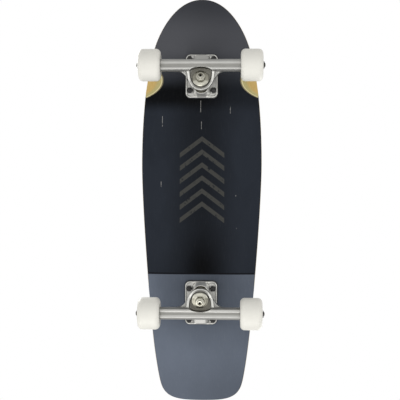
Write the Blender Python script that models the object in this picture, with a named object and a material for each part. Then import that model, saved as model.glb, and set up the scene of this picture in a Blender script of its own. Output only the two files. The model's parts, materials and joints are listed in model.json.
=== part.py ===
"""Longboard skateboard: a pressed maple deck on two cast trucks with four urethane wheels.

Frame: +X towards the nose, +Z up, origin on the ground under the middle of the deck.
Each truck is drawn once, in its own frame: +X points outboard, towards the nearer end of the
board, and the origin lies on the ground under the middle of the truck's four bolts.
"""

import math

import bmesh
import bpy
from mathutils import Matrix, Vector

# Clearances
SEAT_GAP = 0.0003           # between two solids that rest on or pass through each other
SHOULDER_GAP = 0.0014       # between the hanger's shoulder and the pivot housing

# Deck outline, seen from below
DECK_LENGTH = 0.711
DECK_WIDTH = 0.2116
WIDEST_AHEAD_OF_MIDDLE = 0.0655
NOSE_SHOULDER_BACK = 0.0763         # from the nose tip
NOSE_SHOULDER_HALF_WIDTH = 0.0800
NOSE_SHOULDER_ANGLE = math.radians(20.8)
NOSE_TIP_ROUNDNESS = 0.0409         # lengths of the curve handles
NOSE_SHOULDER_ROUNDNESS = 0.0353
NOSE_SIDE_FULLNESS = 0.0589
FRONT_WAIST_FULLNESS = 0.0634
REAR_WAIST_FULLNESS = 0.0761
TAIL_SIDE_FULLNESS = 0.0661
TAIL_SHOULDER_FORWARD = 0.0357      # from the tail end
TAIL_SHOULDER_HALF_WIDTH = 0.0734
TAIL_SHOULDER_ANGLE = math.radians(12.3)
TAIL_SHOULDER_ROUNDNESS = 0.0321
TAIL_END_ROUNDNESS = 0.0464

# Deck pressing
DECK_THICKNESS = 0.0110             # seven plies
DECK_EDGE_BEVEL = 0.0022
FLAT_STRIP = 0.0640                 # the flat middle of the concave
CONCAVE_RISE = 0.0060               # at the widest place
NOSE_KICK_AFTER_BOLTS = 0.0155
NOSE_KICK_BEND = 0.0450
NOSE_KICK_ANGLE = math.radians(8.0)
TAIL_KICK_AFTER_BOLTS = 0.0235
TAIL_KICK_BEND = 0.0500
TAIL_KICK_ANGLE = math.radians(13.0)
BEND_STEP = 0.0115                  # spacing of the cross lines that let the blank bend
CONCAVE_CUTS = (0.0, 0.3, 0.55, 0.78)    # lengthwise lines, from the flat strip to the edge

# Wheel wells, scooped by a drum that leans outwards
WELL_DRUM_RADIUS = 0.1100
WELL_INBOARD_OF_AXLE = 0.0180
WELL_START = 0.0670                 # from the deck's centre line
WELL_SLOPE = math.radians(14.6)
WELL_SIDES = 48

# Grip tape
GRIP_THICKNESS = 0.0008
GRIP_EDGE = 0.0030

# Trucks on the deck
FRONT_BOLTS_FROM_NOSE = 0.1356      # middle of the four bolts
REAR_BOLTS_FROM_TAIL = 0.1768
BOLTS_ALONG = 0.0540
BOLTS_ACROSS = 0.0413
RISER_THICKNESS = 0.0030
RISER_OVERHANG = 0.0010

# Wheels and bearings
WHEEL_RADIUS = 0.0271
WHEEL_WIDTH = 0.0373
WHEEL_LIP = 0.0070
WHEEL_FACE_DISH = 0.0009
WHEEL_THROAT_RADIUS = 0.0146
WHEEL_BORE_STEP = 0.0017            # shoulder that the bearings press against
BEARING_RADIUS = 0.0110
BEARING_BORE = 0.0040
BEARING_WIDTH = 0.0070
BEARING_RACE = 0.0016
SHIELD_DEPTH = 0.0005
BEARING_SPACER_LENGTH = 0.0100
BEARING_SPACER_WALL = 0.0011

# Axle
AXLE_RADIUS = BEARING_BORE - SEAT_GAP
SPEED_WASHER_RADIUS = 0.0060
SPEED_WASHER_THICKNESS = 0.0008
AXLE_NUT_FLATS = 0.0127
AXLE_NUT_HEIGHT = 0.0075
AXLE_END = 0.0016                   # past the nut

# Truck, measured from the axle and from the middle of the bolts
TRUCK_HEIGHT = 0.0530               # axle to mounting face
AXLE_OUTBOARD = 0.0101
KINGPIN_INBOARD = 0.0173            # of the hanger's ring
RING_ABOVE_AXLE = 0.0100
KINGPIN_LEAN = math.radians(17.0)
PIVOT_ANGLE = math.radians(30.0)

# Hanger
HANGER_LENGTH = 0.1450
BEAM_WIDTH = 0.0195
BEAM_TOP = 0.0085
BEAM_TOP_CHAMFER = 0.0035
BEAM_RIDGE = 0.0090
BEAM_RIDGE_SPACING = 0.0096
BEAM_RIDGE_HALF = 0.0013
BEAM_RIDGES_INBOARD = 0.0008        # of the axle
BEAM_GROOVE = 0.0017
BEAM_GROOVE_HALF = 0.0015
BEAM_LOW_CHAMFER = 0.0033
BEAM_END_RADIUS = 0.0084
BEAM_END_LENGTH = 0.0030
RING_HALF_HEIGHT = 0.0060
RING_THROAT = 0.0070
RING_END = 0.0127                   # from the kingpin to the inboard end of the yoke
YOKE_WIDTH = 0.0400                 # beside the kingpin
YOKE_FLARE_WIDTH = 0.0960           # where it runs into the beam
YOKE_INTO_BEAM = 0.0010
YOKE_SIDE_ANGLE = math.radians(27.0)
YOKE_TIP_FULLNESS = 0.0120          # lengths of the curve handles
YOKE_SIDE_FULLNESS = 0.0070
YOKE_WAIST_FULLNESS = 0.0090
YOKE_FLARE_FULLNESS = 0.0200
YOKE_TIP_STEPS = 7
YOKE_FLARE_STEPS = 6
YOKE_RIM = 0.0027
POCKET_WIDTH = 0.0350
POCKET_INTO_BEAM = 0.0050
POCKET_CORNER = 0.0030
THROAT_RADIUS = 0.0072
SPINE_WIDTH = 0.0170
SPINE_DEPTH = 0.0150
SPINE_FROM_RING = 0.0083
SPINE_ON_BEAM = 0.0065              # to each side of the axle
PIVOT_REACH = 0.0440                # from the ring to the tip of the pivot nub
NUB_RADIUS = 0.0056
NUB_LENGTH = 0.0120
NUB_TIP_ANGLES = (25.0, 50.0, 75.0)

# Kingpin stack
KINGPIN_RADIUS = 0.00475
KINGPIN_TIP = 0.0027                # past the nut
KINGPIN_HOLE_RADIUS = 0.0017
KINGPIN_HOLE_DEPTH = 0.0050
KINGPIN_HEAD_RADIUS = 0.0067
KINGPIN_HEAD_HEIGHT = 0.0055
KINGPIN_NUT_FLATS = 0.0143
KINGPIN_NUT_HEIGHT = 0.0070
UPPER_BUSHING_HEIGHT = 0.0125
UPPER_BUSHING_RADIUS = 0.0107
LOWER_BUSHING_HEIGHT = 0.0115
LOWER_BUSHING_RADIUS = 0.0107
LOWER_BUSHING_END_RADIUS = 0.0100
BUSHING_SEAT_CLEARANCE = 0.0005
CUP_WASHER_RADIUS = 0.0133
CUP_WASHER_THICKNESS = 0.0018
CUP_WASHER_LIP = 0.0016

# Baseplate
PLATE_LENGTH = 0.0750
PLATE_WIDTH = 0.0555
PLATE_THICKNESS = 0.0055
PLATE_CORNER = 0.0080
PLATE_EDGE_ROUND = 0.0010
PLATE_RIM = 0.0016
PLATE_RIM_HEIGHT = 0.0008
PLATE_INBOARD = 0.0019              # of the middle of the bolts
HOUSING_FOOT_WIDTH = 0.0298
HOUSING_FOOT_LENGTH = 0.0330
HOUSING_FOOT_SQUARENESS = 0.7       # 0 is a round foot, 1 a square one
HOUSING_SEAT_RADIUS = 0.0128
KINGPIN_HEAD_SEAT = 0.0110          # wall between the upper washer and the head
PIVOT_HOUSING_WIDTH = 0.0280
PIVOT_HOUSING_WALL = 0.0034
PIVOT_HOUSING_ROUND = 0.0065
CUP_WALL = 0.0022
CUP_FLOOR = 0.0018
CUP_CLEARANCE = 0.0005

# Mounting bolts
BOLT_RADIUS = 0.0024
BOLT_HEAD_RADIUS = 0.0046
BOLT_HEAD_HEIGHT = 0.0027
BOLT_END = 0.0010                   # past the nut
DRIVE_SLOT_LENGTH = 0.0046
DRIVE_SLOT_WIDTH = 0.0011
DRIVE_SLOT_DEPTH = 0.0016
LOCK_NUT_FLATS = 0.0095
LOCK_NUT_HEIGHT = 0.0042
LOCK_NUT_COLLAR = 0.0014
LOCK_NUT_COLLAR_RADIUS = 0.0040

# Facets round a turned piece
WHEEL_SIDES = 24
TURNED_SIDES = 16
SMALL_SIDES = 12

# Heights that follow
MOUNTING_FACE = WHEEL_RADIUS + TRUCK_HEIGHT
DECK_BOTTOM = MOUNTING_FACE + SEAT_GAP + RISER_THICKNESS + SEAT_GAP
FRONT_TRUCK_X = DECK_LENGTH / 2 - FRONT_BOLTS_FROM_NOSE
REAR_TRUCK_X = REAR_BOLTS_FROM_TAIL - DECK_LENGTH / 2
BOLT_PLACES = [(side_x * BOLTS_ALONG / 2, side_y * BOLTS_ACROSS / 2)
               for side_x in (1, -1) for side_y in (1, -1)]

# Axes of the truck, in its own frame
RING = Vector((-KINGPIN_INBOARD, 0, WHEEL_RADIUS + RING_ABOVE_AXLE))
DOWN_KINGPIN = Vector((math.sin(KINGPIN_LEAN), 0, -math.cos(KINGPIN_LEAN)))
ALONG_PIVOT = Vector((math.cos(PIVOT_ANGLE), 0, math.sin(PIVOT_ANGLE)))
OVER_PIVOT = Vector((-math.sin(PIVOT_ANGLE), 0, math.cos(PIVOT_ANGLE)))
ACROSS_KINGPIN = Vector((math.cos(KINGPIN_LEAN), 0, math.sin(KINGPIN_LEAN)))
AXLE = Vector((AXLE_OUTBOARD, 0, WHEEL_RADIUS))
BEAM_INBOARD_EDGE = AXLE_OUTBOARD - BEAM_WIDTH / 2
PLATE_OUTBOARD_EDGE = PLATE_LENGTH / 2 - PLATE_INBOARD
PLATE_INBOARD_EDGE = -PLATE_LENGTH / 2 - PLATE_INBOARD

# Places along the kingpin, counted downwards from the middle of the ring
SEAT_FACE = RING_THROAT / 2
LOWER_BUSHING_TOP = SEAT_FACE + SEAT_GAP
LOWER_WASHER_TOP = LOWER_BUSHING_TOP + LOWER_BUSHING_HEIGHT + SEAT_GAP
KINGPIN_NUT_TOP = LOWER_WASHER_TOP + CUP_WASHER_THICKNESS + SEAT_GAP
KINGPIN_END = KINGPIN_NUT_TOP + KINGPIN_NUT_HEIGHT + KINGPIN_TIP
UPPER_WASHER_BOTTOM = SEAT_FACE + SEAT_GAP + UPPER_BUSHING_HEIGHT + SEAT_GAP
HOUSING_SEAT = UPPER_WASHER_BOTTOM + CUP_WASHER_THICKNESS + SEAT_GAP
HEAD_SEAT = HOUSING_SEAT + KINGPIN_HEAD_SEAT

# Places along the pivot, counted from the ring
PIVOT_CUP_RADIUS = NUB_RADIUS + CUP_CLEARANCE + CUP_WALL
CUP_BOTTOM = PIVOT_REACH + CUP_CLEARANCE + CUP_FLOOR
HANGER_SHOULDER = PIVOT_REACH - NUB_LENGTH
HOUSING_FACE = HANGER_SHOULDER + SHOULDER_GAP
HOUSING_END = CUP_BOTTOM + SEAT_GAP + PIVOT_HOUSING_WALL / 2

# Places along the axle, counted from the middle of the truck
INNER_BEARING_FACE = HANGER_LENGTH / 2 + SEAT_GAP + SPEED_WASHER_THICKNESS + SEAT_GAP
BEARING_STEP = BEARING_SPACER_LENGTH / 2 + SEAT_GAP
BEARING_MIDDLE = BEARING_STEP + BEARING_WIDTH / 2
WHEEL_MIDDLE = INNER_BEARING_FACE + BEARING_WIDTH + BEARING_STEP
AXLE_NUT_FACE = WHEEL_MIDDLE + BEARING_STEP + BEARING_WIDTH + SEAT_GAP
AXLE_TIP = AXLE_NUT_FACE + SPEED_WASHER_THICKNESS + AXLE_NUT_HEIGHT + AXLE_END


def clear_scene():
    for obj in list(bpy.data.objects):
        bpy.data.objects.remove(obj, do_unlink=True)


def material(name, colour, roughness, metallic=0.0):
    made = bpy.data.materials.new(name)
    made.use_nodes = True
    shader = made.node_tree.nodes["Principled BSDF"]
    shader.inputs["Base Color"].default_value = (*colour, 1.0)
    shader.inputs["Roughness"].default_value = roughness
    shader.inputs["Metallic"].default_value = metallic
    return made


def empty(name, location, parent=None, turn=0.0):
    frame = bpy.data.objects.new(name, None)
    bpy.context.collection.objects.link(frame)
    frame.empty_display_size = 0.02
    frame.location = location
    frame.rotation_euler = (0, 0, turn)
    frame.parent = parent
    return frame


def solid(name, shape):
    """Turn a bmesh into an object with its faces pointing out."""
    bmesh.ops.recalc_face_normals(shape, faces=shape.faces)
    mesh = bpy.data.meshes.new(name)
    shape.to_mesh(mesh)
    shape.free()
    obj = bpy.data.objects.new(name, mesh)
    bpy.context.collection.objects.link(obj)
    return obj


def combine(target, tool, operation="DIFFERENCE"):
    """Cut, join or intersect the target with a tool, and use the tool up."""
    modifier = target.modifiers.new("combine", "BOOLEAN")
    modifier.operation = operation
    modifier.object = tool
    bpy.context.view_layer.update()
    evaluated = target.evaluated_get(bpy.context.evaluated_depsgraph_get())
    result = bpy.data.meshes.new_from_object(evaluated)
    target.modifiers.clear()
    target.data = result
    bpy.data.objects.remove(tool, do_unlink=True)


def dress(obj, finish, parent=None, origin=None, smooth_angle=35.0):
    """Give a finished solid its material, its shading, its origin and its parent."""
    mesh = obj.data
    mesh.name = obj.name
    mesh.materials.clear()
    mesh.materials.append(finish)
    mesh.shade_smooth()
    mesh.set_sharp_from_angle(angle=math.radians(smooth_angle))
    if origin is not None:
        mesh.transform(Matrix.Translation(-origin))
    obj.parent = parent
    return obj


def twin(obj, name, parent, location=(0, 0, 0), turn=0.0):
    """A second object on the same mesh."""
    copy = bpy.data.objects.new(name, obj.data)
    bpy.context.collection.objects.link(copy)
    copy.parent = parent
    copy.location = location
    copy.rotation_euler = (0, 0, turn)
    return copy


def skin(rings, closed=False):
    """Join rings of points with quads. A closed skin runs back to its first ring, others get caps."""
    shape = bmesh.new()
    loops = [[shape.verts.new(point) for point in ring] for ring in rings]
    pairs = list(zip(loops, loops[1:]))
    if closed:
        pairs.append((loops[-1], loops[0]))
    count = len(rings[0])
    for lower, upper in pairs:
        for i in range(count):
            j = (i + 1) % count
            shape.faces.new((lower[i], lower[j], upper[j], upper[i]))
    if not closed:
        shape.faces.new(loops[0])
        shape.faces.new(loops[-1])
    return shape


def circle(radius, height, sides):
    """A ring of points about +Z, with a flat facing each way along X and Y."""
    angles = [2 * math.pi * (i + 0.5) / sides for i in range(sides)]
    return [(radius * math.cos(a), radius * math.sin(a), height) for a in angles]


def turned(name, profile, sides, origin=Vector(), axis=Vector((0, 0, 1)), bored=False):
    """Turn a profile of (place along the axis, radius). A bored one closes on itself."""
    obj = solid(name, skin([circle(radius, place, sides) for place, radius in profile], bored))
    obj.data.transform(Matrix.Translation(origin) @ axis.to_track_quat("Z", "Y").to_matrix().to_4x4())
    return obj


def tube(name, start, end, outer, bore, sides, origin=Vector(), axis=Vector((0, 0, 1))):
    profile = [(start, bore), (start, outer), (end, outer), (end, bore)]
    return turned(name, profile, sides, origin, axis, bored=True)


def rod(name, start, end, radius, sides, origin=Vector(), axis=Vector((0, 0, 1))):
    return turned(name, [(start, radius), (end, radius)], sides, origin, axis)


def side_extrusion(name, outline, half_width):
    """Extrude an outline drawn in X and Z sideways, to both sides of the middle."""
    rings = [[(x, y, z) for x, z in outline] for y in (-half_width, half_width)]
    return solid(name, skin(rings))


def inset(outline, distance):
    """Move a convex outline inwards, corner by corner."""
    moved = []
    count = len(outline)
    for i, (x, y) in enumerate(outline):
        back = Vector((x - outline[i - 1][0], y - outline[i - 1][1])).normalized()
        ahead = outline[(i + 1) % count]
        forward = Vector((ahead[0] - x, ahead[1] - y)).normalized()
        along = (back + forward).normalized()
        stretch = 1 / max(0.5, along.dot(forward))
        moved.append((x - along.y * distance * stretch, y + along.x * distance * stretch))
    return moved


def rounded_rectangle(length, width, corner, steps=4):
    """Counter-clockwise outline with round corners."""
    points = []
    for quarter, (side_x, side_y) in enumerate(((1, 1), (-1, 1), (-1, -1), (1, -1))):
        for step in range(steps + 1):
            angle = math.pi / 2 * (quarter + step / steps)
            x = side_x * (length / 2 - corner) + corner * math.cos(angle)
            y = side_y * (width / 2 - corner) + corner * math.sin(angle)
            points.append((x, y))
    return points


def bezier(points, steps):
    """Points along a cubic curve, without its last one."""
    start, pull, push, end = (Vector(point) for point in points)
    curve = []
    for step in range(steps):
        t = step / steps
        u = 1 - t
        curve.append(u**3 * start + 3 * u**2 * t * pull + 3 * u * t**2 * push + t**3 * end)
    return curve


def deck_outline():
    """Counter-clockwise outline from the nose tip, along +Y first."""
    nose = Vector((DECK_LENGTH / 2, 0))
    nose_shoulder = Vector((DECK_LENGTH / 2 - NOSE_SHOULDER_BACK, NOSE_SHOULDER_HALF_WIDTH))
    nose_slope = Vector((math.cos(NOSE_SHOULDER_ANGLE), -math.sin(NOSE_SHOULDER_ANGLE)))
    widest = Vector((WIDEST_AHEAD_OF_MIDDLE, DECK_WIDTH / 2))
    tail_shoulder = Vector((TAIL_SHOULDER_FORWARD - DECK_LENGTH / 2, TAIL_SHOULDER_HALF_WIDTH))
    tail_slope = Vector((math.cos(TAIL_SHOULDER_ANGLE), math.sin(TAIL_SHOULDER_ANGLE)))
    tail = Vector((-DECK_LENGTH / 2, 0))
    half = bezier((nose, nose + Vector((0, NOSE_TIP_ROUNDNESS)),
                   nose_shoulder + nose_slope * NOSE_SHOULDER_ROUNDNESS, nose_shoulder), 11)
    half += bezier((nose_shoulder, nose_shoulder - nose_slope * NOSE_SIDE_FULLNESS,
                    widest + Vector((FRONT_WAIST_FULLNESS, 0)), widest), 10)
    half += bezier((widest, widest - Vector((REAR_WAIST_FULLNESS, 0)),
                    tail_shoulder + tail_slope * TAIL_SIDE_FULLNESS, tail_shoulder), 12)
    half += bezier((tail_shoulder, tail_shoulder - tail_slope * TAIL_SHOULDER_ROUNDNESS,
                    tail + Vector((0, TAIL_END_ROUNDNESS)), tail), 11)
    left = [(point.x, point.y) for point in half]
    right = [(x, -y) for x, y in reversed(left[1:])]
    return left + [(tail.x, tail.y)] + right


def kick(distance, bend, angle):
    """Rise of a kick at a distance past its start: a bend that runs into a straight ramp."""
    if distance <= 0:
        return 0.0
    if distance < bend:
        return math.tan(angle) * distance**2 / (2 * bend)
    return math.tan(angle) * (distance - bend / 2)


def nose_kick_start():
    return FRONT_TRUCK_X + BOLTS_ALONG / 2 + NOSE_KICK_AFTER_BOLTS


def tail_kick_start():
    return REAR_TRUCK_X - BOLTS_ALONG / 2 - TAIL_KICK_AFTER_BOLTS


def mould(x, y):
    """Height of the pressed deck's underside over its flat middle."""
    nose = kick(x - nose_kick_start(), NOSE_KICK_BEND, NOSE_KICK_ANGLE)
    tail = kick(tail_kick_start() - x, TAIL_KICK_BEND, TAIL_KICK_ANGLE)
    outside = max(0.0, abs(y) - FLAT_STRIP / 2)
    concave = CONCAVE_RISE * (outside / (DECK_WIDTH / 2 - FLAT_STRIP / 2)) ** 2
    return nose + tail + concave


def pressed(x, y, depth):
    """Where a point of the flat blank goes: depth is counted up from the deck's underside."""
    small = 0.0005
    slope_x = (mould(x + small, y) - mould(x - small, y)) / (2 * small)
    slope_y = (mould(x, y + small) - mould(x, y - small)) / (2 * small)
    upwards = Vector((-slope_x, -slope_y, 1)).normalized()
    return Vector((x, y, DECK_BOTTOM + mould(x, y))) + upwards * depth


def blank(name, rings):
    """Skin a flat blank, cut it across where it bends, and press it."""
    shape = skin(rings)
    nose_end = DECK_LENGTH / 2
    cuts = [(1, 0, FRONT_TRUCK_X), (1, 0, REAR_TRUCK_X), (1, 0, WIDEST_AHEAD_OF_MIDDLE)]
    for start, way, bend, angle_end in ((nose_kick_start(), 1, NOSE_KICK_BEND, nose_end),
                                        (tail_kick_start(), -1, TAIL_KICK_BEND, -nose_end)):
        steps = max(2, round(bend / BEND_STEP))
        cuts += [(1, 0, start + way * bend * step / steps) for step in range(steps + 1)]
        cuts.append((1, 0, (start + way * bend + angle_end) / 2))
    edge = DECK_WIDTH / 2 - FLAT_STRIP / 2
    for share in CONCAVE_CUTS:
        cuts += [(0, 1, side * (FLAT_STRIP / 2 + edge * share)) for side in (1, -1)]
    for normal_x, normal_y, place in cuts:
        geometry = list(shape.verts) + list(shape.edges) + list(shape.faces)
        bmesh.ops.bisect_plane(shape, geom=geometry, dist=1e-6, plane_no=(normal_x, normal_y, 0),
                               plane_co=(normal_x * place, normal_y * place, 0))
    bmesh.ops.triangulate(shape, faces=shape.faces)
    for vertex in shape.verts:
        vertex.co = pressed(*vertex.co)
    return solid(name, shape)


def bolt_centres():
    """Places of the eight bolts on the deck, front truck first."""
    front = [(FRONT_TRUCK_X + x, y) for x, y in BOLT_PLACES]
    rear = [(REAR_TRUCK_X - x, -y) for x, y in BOLT_PLACES]
    return front + rear


def countersunk_hole(x, y, top, clearance):
    """Cutter for a bolt and its sunk head."""
    head = BOLT_HEAD_RADIUS + clearance
    shank = BOLT_RADIUS + clearance
    depth = BOLT_HEAD_HEIGHT + clearance
    profile = [(-2 * DECK_THICKNESS, shank), (-depth, shank), (0, head), (DECK_THICKNESS, head)]
    return turned("hole", profile, SMALL_SIDES, Vector((x, y, top)))


def well_cutter(truck_x, outboard, side):
    """A drum that leans outwards and scoops the deck's underside beside a wheel."""
    middle_x = truck_x + outboard * (AXLE_OUTBOARD - WELL_INBOARD_OF_AXLE)
    start = Vector((middle_x, side * WELL_START, DECK_BOTTOM + mould(middle_x, WELL_START)))
    lean = Vector((0, side * math.cos(WELL_SLOPE), math.sin(WELL_SLOPE)))
    below = Vector((0, side * math.sin(WELL_SLOPE), -math.cos(WELL_SLOPE)))
    inner = start + below * WELL_DRUM_RADIUS
    return rod("well", -WELL_START / 4, DECK_WIDTH / 2, WELL_DRUM_RADIUS, WELL_SIDES, inner,
               lean)


def make_deck(finish):
    outline = deck_outline()
    levels = [(DECK_EDGE_BEVEL, 0), (0, DECK_EDGE_BEVEL), (0, DECK_THICKNESS - DECK_EDGE_BEVEL),
              (DECK_EDGE_BEVEL, DECK_THICKNESS)]
    deck = blank("deck", [[(x, y, depth) for x, y in inset(outline, back)]
                          for back, depth in levels])
    for x, y in bolt_centres():
        combine(deck, countersunk_hole(x, y, DECK_BOTTOM + DECK_THICKNESS, SEAT_GAP))
    for truck_x, outboard in ((FRONT_TRUCK_X, 1), (REAR_TRUCK_X, -1)):
        for side in (1, -1):
            combine(deck, well_cutter(truck_x, outboard, side))
    return dress(deck, finish)


def make_grip(finish):
    outline = inset(deck_outline(), GRIP_EDGE)
    bottom = DECK_THICKNESS + SEAT_GAP
    grip = blank("grip_tape", [[(x, y, depth) for x, y in outline]
                               for depth in (bottom, bottom + GRIP_THICKNESS)])
    top = DECK_BOTTOM + DECK_THICKNESS
    for x, y in bolt_centres():
        hole = BOLT_HEAD_RADIUS + SEAT_GAP
        combine(grip, rod("hole", -GRIP_THICKNESS, 4 * GRIP_THICKNESS, hole, SMALL_SIDES,
                          Vector((x, y, top))))
    return dress(grip, finish)


def drill_bolt_holes(obj):
    for x, y in BOLT_PLACES:
        combine(obj, rod("hole", 0, 2 * MOUNTING_FACE, BOLT_RADIUS + SEAT_GAP, SMALL_SIDES,
                         Vector((x, y, 0))))


def plate_outline(overhang=0.0):
    corners = rounded_rectangle(PLATE_LENGTH + 2 * overhang, PLATE_WIDTH + 2 * overhang,
                                PLATE_CORNER + overhang)
    return [(x - PLATE_INBOARD, y) for x, y in corners]


def make_riser(finish):
    outline = plate_outline(RISER_OVERHANG)
    bottom = MOUNTING_FACE + SEAT_GAP
    pad = solid("riser_pad", skin([[(x, y, z) for x, y in outline]
                                   for z in (bottom, bottom + RISER_THICKNESS)]))
    drill_bolt_holes(pad)
    return dress(pad, finish)


def base_plate():
    """The flat plate, with a raised rim round its lower face."""
    outline = plate_outline()
    face = MOUNTING_FACE - PLATE_THICKNESS
    rings = [(PLATE_EDGE_ROUND, face), (0, face + PLATE_EDGE_ROUND), (0, MOUNTING_FACE)]
    plate = solid("baseplate", skin([[(x, y, z) for x, y in inset(outline, back)]
                                     for back, z in rings]))
    sunk = inset(outline, PLATE_RIM)
    combine(plate, solid("rim", skin([[(x, y, z) for x, y in sunk]
                                      for z in (face - PLATE_RIM, face + PLATE_RIM_HEIGHT)])))
    return plate


def kingpin_housing():
    """A boss that narrows from its foot on the plate to the seat of the upper washer."""
    seat_middle = RING - DOWN_KINGPIN * HOUSING_SEAT
    foot_z = MOUNTING_FACE - PLATE_THICKNESS / 2
    foot_x = PLATE_INBOARD_EDGE + PLATE_EDGE_ROUND + HOUSING_FOOT_LENGTH / 2
    foot = []
    seat = []
    for i in range(TURNED_SIDES):
        angle = 2 * math.pi * (i + 0.5) / TURNED_SIDES
        c = math.cos(angle)
        s = math.sin(angle)
        square = max(abs(c), abs(s)) ** HOUSING_FOOT_SQUARENESS
        foot.append((foot_x + HOUSING_FOOT_LENGTH / 2 * c / square,
                     HOUSING_FOOT_WIDTH / 2 * s / square, foot_z))
        seat.append(seat_middle + ACROSS_KINGPIN * HOUSING_SEAT_RADIUS * c
                    + Vector((0, HOUSING_SEAT_RADIUS * s, 0)))
    return solid("housing", skin([foot, seat]))


def on_pivot(along, over):
    """X and Z of a place in the truck's middle plane, along and over the pivot axis."""
    place = RING + ALONG_PIVOT * along + OVER_PIVOT * over
    return (place.x, place.z)


def pivot_housing():
    """The block round the pivot cup, with its long edges rounded."""
    reach = PIVOT_CUP_RADIUS + SEAT_GAP + PIVOT_HOUSING_WALL
    foot_z = MOUNTING_FACE - PLATE_THICKNESS / 2
    upper = on_pivot(HOUSING_FACE, reach)
    outline = [on_pivot(HOUSING_FACE, -reach), on_pivot(HOUSING_END, -reach),
               (PLATE_OUTBOARD_EDGE - PLATE_EDGE_ROUND, foot_z), (upper[0], foot_z), upper]
    shape = skin([[(x, y, z) for x, z in outline]
                  for y in (-PIVOT_HOUSING_WIDTH / 2, PIVOT_HOUSING_WIDTH / 2)])
    low = [edge for edge in shape.edges
           if abs(edge.verts[0].co.y - edge.verts[1].co.y) < SEAT_GAP
           and max(vertex.co.z for vertex in edge.verts) < foot_z + SEAT_GAP
           and min(vertex.co.z for vertex in edge.verts) < upper[1] - SEAT_GAP]
    bmesh.ops.bevel(shape, geom=low, offset=PIVOT_HOUSING_ROUND, segments=3, profile=0.5,
                    affect="EDGES")
    return solid("pivot_housing", shape)


def make_baseplate(finish):
    plate = base_plate()
    combine(plate, kingpin_housing(), "UNION")
    combine(plate, pivot_housing(), "UNION")
    reach = TRUCK_HEIGHT
    combine(plate, rod("bore", -reach, reach, KINGPIN_RADIUS + SEAT_GAP, TURNED_SIDES, RING,
                       -DOWN_KINGPIN))
    combine(plate, rod("head", HEAD_SEAT, HEAD_SEAT + reach, KINGPIN_HEAD_RADIUS + SEAT_GAP,
                       TURNED_SIDES, RING, -DOWN_KINGPIN))
    combine(plate, rod("pocket", 0, CUP_BOTTOM + SEAT_GAP, PIVOT_CUP_RADIUS + SEAT_GAP,
                       TURNED_SIDES, RING, ALONG_PIVOT))
    drill_bolt_holes(plate)
    return dress(plate, finish)


def make_pivot_cup(finish):
    inner = NUB_RADIUS + CUP_CLEARANCE
    mouth = HOUSING_FACE + SEAT_GAP
    floor = CUP_BOTTOM - CUP_FLOOR
    profile = [(floor, inner), (mouth, inner), (mouth, PIVOT_CUP_RADIUS),
               (CUP_BOTTOM, PIVOT_CUP_RADIUS)]
    cup = turned("pivot_cup", profile, TURNED_SIDES, RING, ALONG_PIVOT)
    return dress(cup, finish)


def make_kingpin(finish):
    hole = KINGPIN_END - KINGPIN_HOLE_DEPTH
    head_bottom = -HEAD_SEAT - SEAT_GAP
    profile = [(hole, KINGPIN_HOLE_RADIUS), (KINGPIN_END, KINGPIN_HOLE_RADIUS),
               (KINGPIN_END, KINGPIN_RADIUS - KINGPIN_TIP / 4),
               (KINGPIN_END - KINGPIN_TIP / 4, KINGPIN_RADIUS),
               (head_bottom, KINGPIN_RADIUS), (head_bottom, KINGPIN_HEAD_RADIUS),
               (head_bottom - KINGPIN_HEAD_HEIGHT, KINGPIN_HEAD_RADIUS)]
    return dress(turned("kingpin", profile, TURNED_SIDES, RING, DOWN_KINGPIN), finish)


def hex_nut(name, flats, bore, start, height, collar_height, collar_radius, origin, axis, washer=None):
    """A hexagon with a round collar on its far side and, where asked, a washer on its near side."""
    top = start + height
    body = rod(name, start, top, flats / math.sqrt(3), 6, origin, axis)
    if washer:
        thickness, radius = washer
        flange = rod("washer", start - thickness, start + height / 4, radius, TURNED_SIDES,
                     origin, axis)
        combine(body, flange, "UNION")
    if collar_height:
        collar = turned("collar", [(start + height / 2, collar_radius), (top, collar_radius),
                                   (top + collar_height, collar_radius - collar_height / 2)],
                        SMALL_SIDES, origin, axis)
        combine(body, collar, "UNION")
    combine(body, rod("thread", start - height, top + height, bore, SMALL_SIDES, origin, axis))
    return body


def make_kingpin_nut(finish):
    collar = KINGPIN_NUT_HEIGHT / 4
    nut = hex_nut("kingpin_nut", KINGPIN_NUT_FLATS, KINGPIN_RADIUS + SEAT_GAP, KINGPIN_NUT_TOP,
                  KINGPIN_NUT_HEIGHT - collar, collar, KINGPIN_NUT_FLATS / 2 - SEAT_GAP,
                  RING, DOWN_KINGPIN)
    return dress(nut, finish)


def make_bushing(name, finish, start, height, start_radius, end_radius, axis):
    bore = KINGPIN_RADIUS + SEAT_GAP
    profile = [(start, bore), (start, start_radius), (start + height, end_radius),
               (start + height, bore)]
    return dress(turned(name, profile, TURNED_SIDES, RING, axis, bored=True), finish)


def make_cup_washer(name, finish, flat, bushing_radius, axis):
    """A washer whose lip holds the end of a bushing; flat is its face on that bushing."""
    bore = KINGPIN_RADIUS + SEAT_GAP
    inner = bushing_radius + SEAT_GAP
    outer = CUP_WASHER_RADIUS
    wall = outer - inner
    profile = [(flat, bore), (flat, inner), (flat - CUP_WASHER_LIP, inner + wall / 2),
               (flat - CUP_WASHER_LIP, outer), (flat, outer),
               (flat + CUP_WASHER_THICKNESS, outer - wall), (flat + CUP_WASHER_THICKNESS, bore)]
    return dress(turned(name, profile, TURNED_SIDES, RING, axis, bored=True), finish)


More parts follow.
